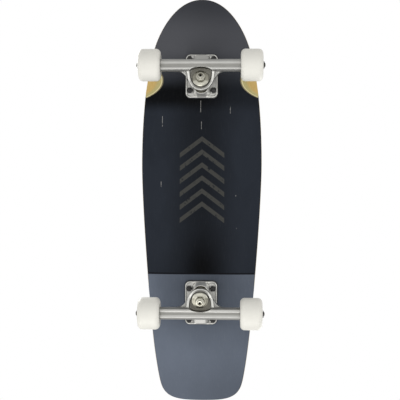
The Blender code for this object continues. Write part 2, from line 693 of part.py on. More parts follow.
def yoke_outline(back=0.0):
    """Seen from below: a horseshoe round the kingpin that flares into the beam."""
    tip = Vector((RING.x - RING_END / math.cos(KINGPIN_LEAN), 0))
    side = Vector((RING.x, YOKE_WIDTH / 2))
    along_side = Vector((math.cos(YOKE_SIDE_ANGLE), math.sin(YOKE_SIDE_ANGLE)))
    flare = Vector((BEAM_INBOARD_EDGE + YOKE_INTO_BEAM, YOKE_FLARE_WIDTH / 2))
    half = bezier((tip, tip + Vector((0, YOKE_TIP_FULLNESS)),
                   side - along_side * YOKE_SIDE_FULLNESS, side), YOKE_TIP_STEPS)
    half += bezier((side, side + along_side * YOKE_WAIST_FULLNESS,
                    flare - Vector((0, YOKE_FLARE_FULLNESS)), flare), YOKE_FLARE_STEPS)
    half = [(point.x, point.y) for point in half] + [(flare.x, flare.y)]
    outline = [(x, -y) for x, y in half] + [(x, y) for x, y in reversed(half[1:])]
    return inset(outline, back) if back else outline


def yoke():
    """Plan outline and side outline, intersected."""
    lower = RING + DOWN_KINGPIN * RING_HALF_HEIGHT
    upper = RING - DOWN_KINGPIN * RING_HALF_HEIGHT
    upper_outboard = upper + ACROSS_KINGPIN * RING_END
    inboard_low = lower - ACROSS_KINGPIN * 2 * RING_END
    inboard_high = upper - ACROSS_KINGPIN * 2 * RING_END
    side = [(inboard_low.x, inboard_low.z), (lower.x, lower.z),
            (AXLE_OUTBOARD, WHEEL_RADIUS - BEAM_RIDGE / 2), (AXLE_OUTBOARD, WHEEL_RADIUS + BEAM_TOP),
            (upper_outboard.x, upper_outboard.z), (inboard_high.x, inboard_high.z)]
    body = solid("hanger", skin([[(x, y, z) for x, y in yoke_outline()]
                                 for z in (0, 2 * WHEEL_RADIUS)]))
    combine(body, side_extrusion("side", side, YOKE_FLARE_WIDTH), "INTERSECT")
    return body


def pocket():
    """The hollow inside the yoke's rim, open to the road, that runs a little into the beam."""
    half = POCKET_WIDTH / 2
    end = BEAM_INBOARD_EDGE + POCKET_INTO_BEAM
    bend = [(x, y) for x, y in yoke_outline(YOKE_RIM) if x < RING.x and abs(y) < half]
    corners = [(end - POCKET_CORNER, -half), (end, POCKET_CORNER - half),
               (end, half - POCKET_CORNER), (end - POCKET_CORNER, half)]
    walls = [point for point in bend if point[1] <= 0] + corners
    walls += [point for point in bend if point[1] > 0]
    prism = solid("pocket", skin([[(x, y, z) for x, y in walls] for z in (0, 2 * WHEEL_RADIUS)]))
    floor = RING + DOWN_KINGPIN * SEAT_FACE
    inboard = floor - ACROSS_KINGPIN * 3 * RING_END
    below = [(inboard.x, inboard.z), (floor.x, floor.z), (AXLE_OUTBOARD, floor.z),
             (AXLE_OUTBOARD, -RING_END), (inboard.x, -RING_END)]
    combine(prism, side_extrusion("below", below, YOKE_FLARE_WIDTH), "INTERSECT")
    return prism


def beam():
    """The bar round the axle: two ridges and a groove face the road."""
    half = BEAM_WIDTH / 2
    low = WHEEL_RADIUS - BEAM_RIDGE
    high = WHEEL_RADIUS + BEAM_TOP
    crest = BEAM_RIDGE_SPACING / 2
    flank = low + BEAM_GROOVE / 3
    roadside = [(-BEAM_GROOVE_HALF, low + BEAM_GROOVE), (BEAM_GROOVE_HALF, low + BEAM_GROOVE),
                (crest - BEAM_RIDGE_HALF, flank), (crest, low), (crest + BEAM_RIDGE_HALF, flank)]
    roadside = [(-x, z) for x, z in reversed(roadside[2:])] + roadside
    outline = [(x - BEAM_RIDGES_INBOARD, z) for x, z in roadside]
    outline += [(half, low + 2 * BEAM_LOW_CHAMFER), (half, high - BEAM_TOP_CHAMFER),
                (half - BEAM_TOP_CHAMFER / 2, high), (BEAM_TOP_CHAMFER / 2 - half, high),
                (-half, high - BEAM_TOP_CHAMFER), (-half, low + 2 * BEAM_LOW_CHAMFER)]
    return side_extrusion("beam", [(AXLE_OUTBOARD + x, z) for x, z in outline],
                          HANGER_LENGTH / 2 - BEAM_END_LENGTH)


def spine():
    """The web from the ring over the beam to the shoulder of the pivot nub."""
    half = SPINE_DEPTH / 2
    beam_top = WHEEL_RADIUS + BEAM_TOP / 2
    outline = [(RING.x + SPINE_FROM_RING, RING.z), on_pivot(HANGER_SHOULDER, half),
               on_pivot(HANGER_SHOULDER, -half), (AXLE_OUTBOARD + SPINE_ON_BEAM, beam_top),
               (AXLE_OUTBOARD - SPINE_ON_BEAM, beam_top)]
    return side_extrusion("spine", outline, SPINE_WIDTH / 2)


def pivot_nub():
    start = HANGER_SHOULDER - NUB_RADIUS
    profile = [(start, NUB_RADIUS), (PIVOT_REACH - NUB_RADIUS, NUB_RADIUS)]
    for degrees in NUB_TIP_ANGLES:
        angle = math.radians(degrees)
        profile.append((PIVOT_REACH - NUB_RADIUS * (1 - math.sin(angle)),
                        NUB_RADIUS * math.cos(angle)))
    return turned("nub", profile, TURNED_SIDES, RING, ALONG_PIVOT)


def make_hanger(finish):
    hanger = yoke()
    combine(hanger, beam(), "UNION")
    across = Vector((0, 1, 0))
    combine(hanger, rod("ends", -HANGER_LENGTH / 2, HANGER_LENGTH / 2, BEAM_END_RADIUS,
                        TURNED_SIDES, AXLE, across), "UNION")
    combine(hanger, spine(), "UNION")
    combine(hanger, pivot_nub(), "UNION")
    combine(hanger, pocket())
    for axis, radius, height in ((-DOWN_KINGPIN, UPPER_BUSHING_RADIUS, UPPER_BUSHING_HEIGHT),
                                 (DOWN_KINGPIN, LOWER_BUSHING_RADIUS, LOWER_BUSHING_HEIGHT)):
        combine(hanger, rod("seat", SEAT_FACE, SEAT_FACE + 2 * height,
                            radius + BUSHING_SEAT_CLEARANCE, TURNED_SIDES, RING, axis))
    combine(hanger, rod("throat", -RING_END, RING_END, THROAT_RADIUS, TURNED_SIDES, RING,
                        DOWN_KINGPIN))
    combine(hanger, rod("axle_bore", -HANGER_LENGTH, HANGER_LENGTH, AXLE_RADIUS + SEAT_GAP,
                        SMALL_SIDES, AXLE, across))
    return dress(hanger, finish, origin=RING)


def make_axle(finish):
    """A bar with a speed washer against each end of the hanger."""
    washer_in = HANGER_LENGTH / 2 + SEAT_GAP
    washer_out = washer_in + SPEED_WASHER_THICKNESS
    chamfer = AXLE_END / 2
    half = [(washer_in, AXLE_RADIUS), (washer_in, SPEED_WASHER_RADIUS),
            (washer_out, SPEED_WASHER_RADIUS), (washer_out, AXLE_RADIUS),
            (AXLE_TIP - chamfer, AXLE_RADIUS), (AXLE_TIP, AXLE_RADIUS - chamfer)]
    profile = [(-place, radius) for place, radius in reversed(half)] + half
    axle = turned("axle", profile, SMALL_SIDES, AXLE, Vector((0, 1, 0)))
    return dress(axle, finish, origin=RING)


def make_bolt(finish):
    """Head up, with its top level with the deck's upper face."""
    tip = MOUNTING_FACE - PLATE_THICKNESS - LOCK_NUT_HEIGHT - LOCK_NUT_COLLAR - BOLT_END
    length = DECK_BOTTOM + DECK_THICKNESS - tip
    profile = [(-length, BOLT_RADIUS), (-BOLT_HEAD_HEIGHT, BOLT_RADIUS), (0, BOLT_HEAD_RADIUS)]
    bolt = turned("bolt", profile, SMALL_SIDES)
    half_long = DRIVE_SLOT_LENGTH / 2
    half_wide = DRIVE_SLOT_WIDTH / 2
    plus = [(half_long, -half_wide), (half_long, half_wide), (half_wide, half_wide),
            (half_wide, half_long), (-half_wide, half_long), (-half_wide, half_wide),
            (-half_long, half_wide), (-half_long, -half_wide), (-half_wide, -half_wide),
            (-half_wide, -half_long), (half_wide, -half_long), (half_wide, -half_wide)]
    combine(bolt, solid("drive", skin([[(x, y, z) for x, y in plus]
                                       for z in (-DRIVE_SLOT_DEPTH, DRIVE_SLOT_DEPTH)])))
    return dress(bolt, finish)


def make_lock_nut(finish):
    """Its near face lies on the plate's sunk face, drawn here at the origin."""
    nut = hex_nut("lock_nut", LOCK_NUT_FLATS, BOLT_RADIUS + SEAT_GAP, SEAT_GAP, LOCK_NUT_HEIGHT,
                  LOCK_NUT_COLLAR, LOCK_NUT_COLLAR_RADIUS, Vector(), Vector((0, 0, -1)))
    return dress(nut, finish)


def make_wheel(finish):
    """Turned about its own middle: round lips, dished faces and two bearing seats."""
    flat_to_corner = 1 / math.cos(math.pi / WHEEL_SIDES)
    half = WHEEL_WIDTH / 2
    tread = WHEEL_RADIUS * flat_to_corner
    seat = BEARING_RADIUS + SEAT_GAP
    seat_mouth = BEARING_MIDDLE + BEARING_WIDTH / 2
    outer = [(half - WHEEL_LIP, tread)]
    for step in (1, 2):
        angle = math.pi / 4 * step
        outer.append((half - WHEEL_LIP * (1 - math.sin(angle)),
                      tread - WHEEL_LIP * (1 - math.cos(angle))))
    outer.append((half - WHEEL_FACE_DISH, (tread - WHEEL_LIP + WHEEL_THROAT_RADIUS) / 2))
    outer += [(seat_mouth + WHEEL_FACE_DISH, WHEEL_THROAT_RADIUS), (seat_mouth, seat),
              (BEARING_STEP - SEAT_GAP, seat), (BEARING_STEP - SEAT_GAP, seat - WHEEL_BORE_STEP)]
    inner = [(-place, radius) for place, radius in reversed(outer)]
    wheel = turned("wheel", inner + outer, WHEEL_SIDES, axis=Vector((0, 1, 0)), bored=True)
    return dress(wheel, finish, smooth_angle=40.0)


def make_bearing(finish):
    """A 608 bearing: two races, and a sunk shield between them on its outward face."""
    half = BEARING_WIDTH / 2
    sunk = half - SHIELD_DEPTH
    bore = BEARING_BORE + SEAT_GAP
    inner_race = bore + BEARING_RACE
    outer_race = BEARING_RADIUS - BEARING_RACE
    face = [(half, bore), (half, inner_race), (sunk, inner_race), (sunk, outer_race),
            (half, outer_race), (half, BEARING_RADIUS)]
    profile = face + [(-half, BEARING_RADIUS), (-half, bore)]
    bearing = turned("bearing", profile, TURNED_SIDES, axis=Vector((0, 1, 0)), bored=True)
    return dress(bearing, finish)


def make_spacer(finish):
    half = BEARING_SPACER_LENGTH / 2
    bore = BEARING_BORE + SEAT_GAP
    spacer = tube("spacer", -half, half, bore + BEARING_SPACER_WALL, bore, SMALL_SIDES,
                  axis=Vector((0, 1, 0)))
    return dress(spacer, finish)


def make_axle_nut(finish):
    """A lock nut with its speed washer, drawn with the washer's near face at the origin."""
    washer = (SPEED_WASHER_THICKNESS, SPEED_WASHER_RADIUS)
    collar = AXLE_NUT_HEIGHT / 4
    nut = hex_nut("axle_nut", AXLE_NUT_FLATS, AXLE_RADIUS + SEAT_GAP, SPEED_WASHER_THICKNESS,
                  AXLE_NUT_HEIGHT - collar, collar, AXLE_NUT_FLATS / 2 - SEAT_GAP, Vector(),
                  Vector((0, 1, 0)), washer)
    return dress(nut, finish)


def finishes():
    return {
        "paint": material("black_painted_maple", (0.028, 0.030, 0.035), 0.35),
        "grip": material("grip_tape", (0.020, 0.020, 0.021), 0.95),
        "pad": material("riser_rubber", (0.012, 0.012, 0.013), 0.70),
        "cast": material("cast_aluminium", (0.62, 0.62, 0.60), 0.34, 1.0),
        "steel": material("zinc_steel", (0.66, 0.65, 0.62), 0.28, 1.0),
        "dark": material("black_steel", (0.025, 0.025, 0.028), 0.42, 0.8),
        "bushing": material("bushing_urethane", (0.055, 0.055, 0.050), 0.50),
        "cup": material("pivot_cup_urethane", (0.030, 0.030, 0.032), 0.60),
        "wheel": material("white_urethane", (0.84, 0.82, 0.78), 0.42),
    }


def place_truck(name, truck_x, turn, meshes, wheel_sides):
    """Hang one truck's objects on empties: the truck, its steering axis and its two wheels."""
    truck = empty(name + "_truck", (truck_x, 0, 0), turn=turn)
    steer = empty(name + "_steer", RING, truck)
    for key in ("riser_pad", "baseplate", "pivot_cup", "kingpin", "kingpin_nut", "upper_washer",
                "upper_bushing", "lower_bushing", "lower_washer"):
        twin(meshes[key], name + "_" + key, truck)
    for key in ("hanger", "axle"):
        twin(meshes[key], name + "_" + key, steer)
    nut_seat = MOUNTING_FACE - PLATE_THICKNESS + PLATE_RIM_HEIGHT
    for number, (x, y) in enumerate(BOLT_PLACES, 1):
        twin(meshes["bolt"], f"{name}_bolt_{number}", truck, (x, y, DECK_BOTTOM + DECK_THICKNESS))
        twin(meshes["lock_nut"], f"{name}_lock_nut_{number}", truck, (x, y, nut_seat), math.pi / 6)
    for side, side_name in wheel_sides:
        wheel_name = f"{name}_{side_name}"
        middle = AXLE - RING + Vector((0, side * WHEEL_MIDDLE, 0))
        spin = empty(wheel_name + "_spin", middle, steer)
        twin(meshes["wheel"], wheel_name + "_wheel", spin)
        twin(meshes["spacer"], wheel_name + "_bearing_spacer", spin)
        for way, where in ((-side, "inner"), (side, "outer")):
            twin(meshes["bearing"], f"{wheel_name}_{where}_bearing", spin,
                 (0, way * BEARING_MIDDLE, 0), 0.0 if way > 0 else math.pi)
        nut_place = AXLE - RING + Vector((0, side * AXLE_NUT_FACE, 0))
        twin(meshes["axle_nut"], wheel_name + "_axle_nut", steer, nut_place,
             0.0 if side > 0 else math.pi)


def build():
    clear_scene()
    finish = finishes()
    make_deck(finish["paint"])
    make_grip(finish["grip"])
    upper_seat = SEAT_FACE + SEAT_GAP
    meshes = {
        "riser_pad": make_riser(finish["pad"]),
        "baseplate": make_baseplate(finish["cast"]),
        "pivot_cup": make_pivot_cup(finish["cup"]),
        "kingpin": make_kingpin(finish["steel"]),
        "kingpin_nut": make_kingpin_nut(finish["steel"]),
        "upper_washer": make_cup_washer("upper_washer", finish["steel"], UPPER_WASHER_BOTTOM,
                                        UPPER_BUSHING_RADIUS, -DOWN_KINGPIN),
        "lower_washer": make_cup_washer("lower_washer", finish["steel"], LOWER_WASHER_TOP,
                                        LOWER_BUSHING_END_RADIUS, DOWN_KINGPIN),
        "upper_bushing": make_bushing("upper_bushing", finish["bushing"], upper_seat,
                                      UPPER_BUSHING_HEIGHT, UPPER_BUSHING_RADIUS,
                                      UPPER_BUSHING_RADIUS, -DOWN_KINGPIN),
        "lower_bushing": make_bushing("lower_bushing", finish["bushing"], LOWER_BUSHING_TOP,
                                      LOWER_BUSHING_HEIGHT, LOWER_BUSHING_RADIUS,
                                      LOWER_BUSHING_END_RADIUS, DOWN_KINGPIN),
        "hanger": make_hanger(finish["cast"]),
        "axle": make_axle(finish["steel"]),
        "bolt": make_bolt(finish["dark"]),
        "lock_nut": make_lock_nut(finish["dark"]),
        "wheel": make_wheel(finish["wheel"]),
        "bearing": make_bearing(finish["steel"]),
        "spacer": make_spacer(finish["steel"]),
        "axle_nut": make_axle_nut(finish["dark"]),
    }
    place_truck("front", FRONT_TRUCK_X, 0.0, meshes, ((1, "left"), (-1, "right")))
    place_truck("rear", REAR_TRUCK_X, math.pi, meshes, ((-1, "left"), (1, "right")))
    for pattern in meshes.values():
        bpy.data.objects.remove(pattern, do_unlink=True)
    bpy.context.view_layer.update()


build()
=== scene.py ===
"""Longboard skateboard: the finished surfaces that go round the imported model.

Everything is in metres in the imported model's frame: +X towards the nose, +Z up, origin on the
ground. What belongs to a truck is drawn once, in the truck's own frame, where +X points outboard
and the origin lies on the ground under the middle of its four bolts, and is then set down at both
ends of the board.
"""

import json
import math

import bmesh
import bpy
from mathutils import Matrix, Vector


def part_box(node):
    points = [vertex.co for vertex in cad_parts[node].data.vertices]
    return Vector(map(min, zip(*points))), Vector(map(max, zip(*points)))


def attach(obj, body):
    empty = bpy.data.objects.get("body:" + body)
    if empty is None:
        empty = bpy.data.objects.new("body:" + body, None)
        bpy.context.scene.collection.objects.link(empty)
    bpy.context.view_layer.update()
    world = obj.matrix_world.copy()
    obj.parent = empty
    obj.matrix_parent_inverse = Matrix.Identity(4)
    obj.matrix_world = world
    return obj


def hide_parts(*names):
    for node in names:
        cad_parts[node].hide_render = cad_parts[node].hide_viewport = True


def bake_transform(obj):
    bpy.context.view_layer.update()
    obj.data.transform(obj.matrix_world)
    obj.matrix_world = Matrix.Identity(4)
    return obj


bl_info = {
    "name": "Longboard Skateboard",
    "version": (1, 0, 0),
    "blender": (4, 5, 0),
    "location": "3D View > Sidebar > Longboard",
    "description": "Dresses the packed model of a longboard skateboard in its finished surfaces",
    "category": "Object",
}

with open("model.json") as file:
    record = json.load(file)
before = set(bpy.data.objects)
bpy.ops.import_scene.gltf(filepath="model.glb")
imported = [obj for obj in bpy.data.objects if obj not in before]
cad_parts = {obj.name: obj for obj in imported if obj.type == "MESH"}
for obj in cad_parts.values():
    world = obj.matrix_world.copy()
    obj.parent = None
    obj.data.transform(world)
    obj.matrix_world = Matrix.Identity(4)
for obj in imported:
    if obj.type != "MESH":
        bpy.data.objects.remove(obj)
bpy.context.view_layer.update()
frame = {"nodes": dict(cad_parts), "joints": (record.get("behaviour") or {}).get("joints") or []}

GAP = 0.0003                    # kept between pieces that rest on each other
SEGMENTS = 64                   # round a turned piece
CORE = 0.010                    # radius of the circle that a turned profile is swept along
WELD = 1e-6                     # points of a turned piece that lie closer than this are one
SMOOTH_ANGLE = 32.0             # degrees past which an edge shows as a crease
EDGE_UPRIGHT = 0.80             # a face whose normal leans up less than this is on the deck's edge
ENDS = ("front", "rear")
SIDES = ("left", "right")
BOLT_NUMBERS = (1, 2, 3, 4)
BOARD = "board"
HANGER_BODY = "{end}_hanger_body"
WHEEL_BODY = "{wheel}_wheel_body"


def joint(name):
    return next(one for one in frame["joints"] if one["name"] == name)


def box_middle(node):
    low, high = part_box(node)
    return (low + high) / 2


def extent(node):
    low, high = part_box(node)
    return high - low


def truck_matrix(end):
    """Where a truck stands: under the middle of its four bolts, +X outboard."""
    bolts = [box_middle(f"{end}_bolt_{number}") for number in BOLT_NUMBERS]
    turn = 0.0 if end == "front" else math.pi
    place = Matrix.Translation((sum(bolt.x for bolt in bolts) / len(bolts), 0, 0))
    return place @ Matrix.Rotation(turn, 4, "Z")


TRUCKS = {end: truck_matrix(end) for end in ENDS}
TO_TRUCK = TRUCKS["front"].inverted()

# Places and directions in the truck's own frame
RING = TO_TRUCK @ Vector(joint("front_truck_steer")["pos_m"])
ALONG_PIVOT = Vector(joint("front_truck_steer")["axis"])
OVER_PIVOT = Vector((-ALONG_PIVOT.z, 0, ALONG_PIVOT.x))
WHEEL_PLACE = TO_TRUCK @ Vector(joint("front_left_wheel_spin")["pos_m"])
AXLE = Vector((WHEEL_PLACE.x, 0, WHEEL_PLACE.z))
ACROSS = Vector((0, 1, 0))
UP = Vector((0, 0, 1))
MOUNTING_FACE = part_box("front_baseplate")[1].z
DECK_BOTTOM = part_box("front_riser_pad")[1].z + GAP
BOLT_PLACES = [TO_TRUCK @ box_middle(f"front_bolt_{number}") for number in BOLT_NUMBERS]
BOLTS_ALONG = max(place.x for place in BOLT_PLACES) - min(place.x for place in BOLT_PLACES)


def setting(kind, **ways):
    """A function that takes a description and a default, and then the name of the setting."""
    def described(description, default):
        return lambda name: kind(name=name, description=description, default=default, **ways)
    return described


size = setting(bpy.props.FloatProperty, precision=4, unit="LENGTH", subtype="DISTANCE")
angle = setting(bpy.props.FloatProperty, unit="ROTATION", subtype="ANGLE")
colour = setting(bpy.props.FloatVectorProperty, size=3, min=0.0, max=1.0, subtype="COLOR")
amount = setting(bpy.props.FloatProperty, min=0.0)


def turn(description, degrees):
    return angle(description, math.radians(degrees))


def pointer(group):
    return lambda name: bpy.props.PointerProperty(name=name, type=group)


def labelled(group):
    """Make the properties of a group, each with a name in plain words from its key."""
    for key, make in group.__annotations__.items():
        group.__annotations__[key] = make(key.replace("_", " ").capitalize())
    return group


@labelled
class DeckSizes(bpy.types.PropertyGroup):
    """Outline, pressing and cuts of the deck."""

    length: size("Nose tip to tail end of the flat blank", 0.711)
    width: size("At the widest place", 0.2116)
    widest_place: size("Ahead of the middle", 0.0655)
    thickness: size("All plies together", 0.0110)
    ply: size("Thickness of one ply", 0.00157)
    edge_round: size("Radius along the edges", 0.0030)
    paint_edge: size("How far up the deck's edge the paint reaches", 0.0016)
    nose_shoulder: size("Back from the nose tip", 0.0763)
    nose_shoulder_half: size("From the centre line", 0.0800)
    nose_shoulder_turn: turn("Against the centre line", 20.8)
    nose_tip_handle: size("Curve handle", 0.0409)
    nose_shoulder_handle: size("Curve handle", 0.0353)
    nose_side_handle: size("Curve handle", 0.0589)
    front_waist_handle: size("Curve handle", 0.0634)
    rear_waist_handle: size("Curve handle", 0.0761)
    tail_side_handle: size("Curve handle", 0.0661)
    tail_shoulder: size("Forward from the tail end", 0.0357)
    tail_shoulder_half: size("From the centre line", 0.0734)
    tail_shoulder_turn: turn("Against the centre line", 12.3)
    tail_shoulder_handle: size("Curve handle", 0.0321)
    tail_end_handle: size("Curve handle", 0.0464)
    flat_strip: size("Flat middle of the concave", 0.0640)
    concave_rise: size("Of the edge at the widest place", 0.0060)
    nose_kick_start: size("Past the outer front bolts", 0.0155)
    nose_kick_bend: size("Length of the bend", 0.0450)
    nose_kick: turn("Slope of the nose", 8.0)
    tail_kick_start: size("Past the outer rear bolts", 0.0235)
    tail_kick_bend: size("Length of the bend", 0.0500)
    tail_kick: turn("Slope of the tail", 13.0)
    well_radius: size("Of the drum that scoops the wheel wells", 0.1100)
    well_inboard: size("Inboard of the axle", 0.0180)
    well_start: size("From the centre line", 0.0670)
    well_slope: turn("Lean of the drum", 14.6)
    grip_edge: size("Bare rim round the grip tape", 0.0030)
    grip_thickness: size("Of the grip tape", 0.0008)


@labelled
class TruckSizes(bpy.types.PropertyGroup):
    """Castings of a truck and the stack on its kingpin."""

    kingpin_lean: turn("Against upright", 17.0)
    hanger_length: size("Between the speed washers", extent("front_hanger").y)
    beam_width: size("Across the axle", 0.0203)
    beam_inboard: size("Of the axle", 0.0004)
    beam_below: size("From the axle to the ridges", 0.0090)
    beam_above: size("From the axle to the top", 0.0085)
    ridge_spacing: size("Between the two ridges", 0.0098)
    ridge_width: size("Of each ridge", 0.0044)
    ridges_inboard: size("Of the axle", 0.0009)
    groove_depth: size("Between the ridges", 0.0024)
    beam_slope: size("Rise of the beam's flanks over the ridges", 0.0048)
    beam_round: size("Radius along the beam's back", 0.0040)
    beam_end_radius: size("Round end at each wheel", 0.0084)
    beam_end_length: size("Round end at each wheel", 0.0030)
    ring_half_height: size("Along the kingpin", 0.0060)
    ring_throat: size("Between the bushings", 0.0070)
    ring_end: size("Kingpin to the inboard end of the yoke", 0.0127)
    ring_bore: size("Radius of the hole between the bushing seats", 0.0072)
    seat_play: size("Round a bushing in its seat", 0.0005)
    yoke_reach: size("Kingpin to the yoke's tip, in plan", 0.0143)
    yoke_width: size("Beside the kingpin", 0.0400)
    web_flare: size("Width of the web where it meets the beam", 0.0920)
    rim_flare: size("Width of the rim where it meets the beam", 0.0520)
    rim_height: size("Of the yoke's rim over its web", 0.0032)
    bowl_inboard: size("From the ring to the hollow's inboard end", 0.0098)
    bowl_length: size("Of the hollow round the kingpin", 0.0336)
    bowl_width: size("Of the hollow where it meets the beam", 0.0376)
    spine_width: size("Of the web over the beam", 0.0170)
    spine_depth: size("Across the pivot", 0.0150)
    spine_start: size("Outboard of the kingpin", 0.0083)
    spine_foot: size("Half of the web's length on the beam", 0.0065)
    pivot_reach: size("From the ring to the tip of the nub", 0.0440)
    nub_radius: size("Of the pivot nub", 0.0056)
    nub_length: size("Of the pivot nub", 0.0120)
    plate_length: size("Of the baseplate", extent("front_baseplate").x)
    plate_width: size("Of the baseplate", extent("front_baseplate").y)
    plate_thickness: size("With its rim", 0.0055)
    plate_corner: size("Radius of the corners", 0.0080)
    plate_rim: size("Width of the raised rim", 0.0016)
    plate_rim_height: size("Over the sunk face", 0.0008)
    foot_length: size("Of the kingpin boss", 0.0330)
    foot_width: size("Of the kingpin boss", 0.0298)
    foot_face: size("Width of the boss's inboard face", 0.0176)
    seat_radius: size("Under the upper washer", 0.0128)
    housing_width: size("Across the truck", 0.0280)
    housing_wall: size("Round the pivot cup", 0.0034)
    housing_round: size("Radius along its edges", 0.0065)
    cup_wall: size("Of the pivot cup", 0.0022)
    cup_floor: size("Of the pivot cup", 0.0018)
    shoulder_gap: size("Hanger to pivot housing", 0.0022)


@labelled
class KingpinSizes(bpy.types.PropertyGroup):
    """The kingpin and what is stacked on it."""

    radius: size("Of the shank", 0.00475)
    tip: size("Past the nut", 0.0027)
    hole_radius: size("Of the centre hole", 0.0021)
    hole_depth: size("Of the centre hole", 0.0050)
    head_radius: size("Of the sunk head", 0.0067)
    head_height: size("Of the sunk head", 0.0055)
    head_seat: size("Wall between the upper washer and the head", 0.0110)
    thread_pitch: size("Of kingpin and axle", 0.0011)
    nut_flats: size("Across flats", 0.0143)
    nut_height: size("With its collar", 0.0070)
    upper_bushing: size("Height", 0.0125)
    lower_bushing: size("Height", 0.0115)
    bushing_radius: size("Of both bushings", 0.0107)
    play: size("Room that the bushings leave round the kingpin as they bend", 0.0019)
    bushing_end: size("Radius of the lower bushing's low end", 0.0100)
    washer_radius: size("Of the lower cup washer", 0.0141)
    upper_washer: size("Of the upper cup washer", 0.0128)
    washer_thickness: size("Of the cup washers", 0.0018)
    washer_lip: size("Height of the cup's lip", 0.0016)


@labelled
class WheelSizes(bpy.types.PropertyGroup):
    """Wheels, bearings, axles and their nuts."""

    radius: size("Of the wheel", extent("front_left_wheel").z / 2)
    width: size("Of the wheel", extent("front_left_wheel").y)
    lip: size("Radius of the rounded lips", 0.0076)
    dish: size("Depth of the dished faces", 0.0012)
    throat: size("Radius of the opening round a bearing", 0.0146)
    bearing_radius: size("Outer race", 0.0110)
    bearing_bore: size("Radius of the inner race's bore", 0.0040)
    bearing_width: size("Of one bearing", 0.0070)
    bearing_spacing: size("Between a wheel's bearings", 0.0100)
    race: size("Thickness of the bearing races", 0.0016)
    axle_end: size("Past the nut", 0.0016)
    speed_washer: size("Thickness", 0.0008)
    speed_washer_radius: size("Outer radius", 0.0060)
    nut_flats: size("Across flats", 0.0127)
    nut_height: size("With its collar", 0.0075)


@labelled
class BoltSizes(bpy.types.PropertyGroup):
    """Bolts and lock nuts that hold the trucks."""

    radius: size("Of the shank", 0.0024)
    head_radius: size("Of the countersunk head", 0.0046)
    head_height: size("Of the countersunk head", 0.0027)
    end: size("Past the nut", 0.0010)
    thread_pitch: size("Of the bolts", 0.0008)
    slot_length: size("Of the cross slot", 0.0050)
    slot_width: size("Of the cross slot", 0.0011)
    slot_depth: size("Of the cross slot", 0.0017)
    nut_flats: size("Across flats", 0.0095)
    nut_height: size("Hexagon alone", 0.0042)
    collar_height: size("Round end of the lock nut", 0.0014)
    collar_radius: size("Round end of the lock nut", 0.0040)


@labelled
class BoardColours(bpy.types.PropertyGroup):
    """Colours of the deck and its hardware."""

    black_paint: colour("Nose and middle of the underside", (0.0165, 0.0200, 0.0270))
    grey_paint: colour("Tail of the underside", (0.097, 0.113, 0.143))
    mark: colour("Lines of the mark on the underside", (0.042, 0.042, 0.039))
    pale_ply: colour("Outer plies", (0.50, 0.44, 0.22))
    scooped_ply: colour("Slanted cut of the outer ply", (0.36, 0.32, 0.13))
    warm_ply: colour("Inner plies", (0.46, 0.30, 0.078))
    glue: colour("Between the plies", (0.13, 0.075, 0.030))
    grip: colour("Grip tape", (0.016, 0.016, 0.017))
    pad: colour("Rubber under the trucks", (0.010, 0.010, 0.011))
    cast: colour("Hangers and baseplates", (0.245, 0.243, 0.230))
    zinc: colour("Kingpins, their nuts and washers", (0.42, 0.41, 0.35))
    steel: colour("Axles and bearing races", (0.34, 0.335, 0.325))
    black_steel: colour("Bolts and nuts", (0.015, 0.015, 0.016))
    bushing: colour("Urethane round the kingpin", (0.150, 0.145, 0.120))
    wheel: colour("Urethane of the wheels", (0.655, 0.643, 0.590))
    shield: colour("Bearing shields", (0.030, 0.031, 0.033))
    floor: colour("Studio floor", (0.80, 0.80, 0.79))


@labelled
class StageSettings(bpy.types.PropertyGroup):
    """Camera, lamps and floor."""

    camera_distance: size("Below the deck's underside", 1.5)
    camera_forward: size("Towards the nose", 0.01826)
    camera_aside: size("Towards the left", 0.04993)
    camera_pitch: turn("Towards the tail", 0.605)
    camera_tilt: turn("Towards the right", 2.006)
    camera_roll: turn("About the line of sight", 0.171)
    camera_lens: amount("Focal length in millimetres", 77.15)
    floor_side: size("Side of the square floor", 9.0)
    world_light: amount("Strength of the light from all round", 0.68)
    fade_start: size("Where the floor begins to fade from sight", 0.6)
    fade_end: size("Where the floor is no longer seen", 2.0)


@labelled
class LongboardSettings(bpy.types.PropertyGroup):
    """All sizes and colours of the board."""

    deck: pointer(DeckSizes)
    truck: pointer(TruckSizes)
    kingpin: pointer(KingpinSizes)
    wheel: pointer(WheelSizes)
    bolt: pointer(BoltSizes)
    colours: pointer(BoardColours)
    stage: pointer(StageSettings)


def settings():
    return bpy.context.scene.longboard


# Meshes

def clamped(value, least=0.0, most=1.0):
    return min(most, max(least, value))


def link_mesh(name, mesh):
    obj = bpy.data.objects.new(name, mesh)
    bpy.context.scene.collection.objects.link(obj)
    return obj


def discard(obj):
    bpy.data.objects.remove(obj, do_unlink=True)


def new_object(name, shape, outwards=True):
    """An object from a bmesh, with its faces pointing out."""
    if outwards:
        bmesh.ops.recalc_face_normals(shape, faces=shape.faces)
    mesh = bpy.data.meshes.new(name)
    shape.to_mesh(mesh)
    shape.free()
    return link_mesh(name, mesh)


def bake_modifiers(obj):
    """Replace the object's mesh with what its modifiers make of it."""
    bpy.context.view_layer.update()
    evaluated = obj.evaluated_get(bpy.context.evaluated_depsgraph_get())
    mesh = bpy.data.meshes.new_from_object(evaluated)
    obj.modifiers.clear()
    obj.data = mesh


def combine(target, tool, operation="DIFFERENCE"):
    """Cut, join or intersect the target with a tool, and use the tool up."""
    modifier = target.modifiers.new("combine", "BOOLEAN")
    modifier.operation = operation
    modifier.material_mode = "TRANSFER"
    modifier.object = tool
    bake_modifiers(target)
    discard(tool)


def joined(name, parts):
    """One mesh of several bodies, which use themselves up."""
    shape = bmesh.new()
    for part in parts:
        shape.from_mesh(part.data)
        discard(part)
    return new_object(name, shape, outwards=False)


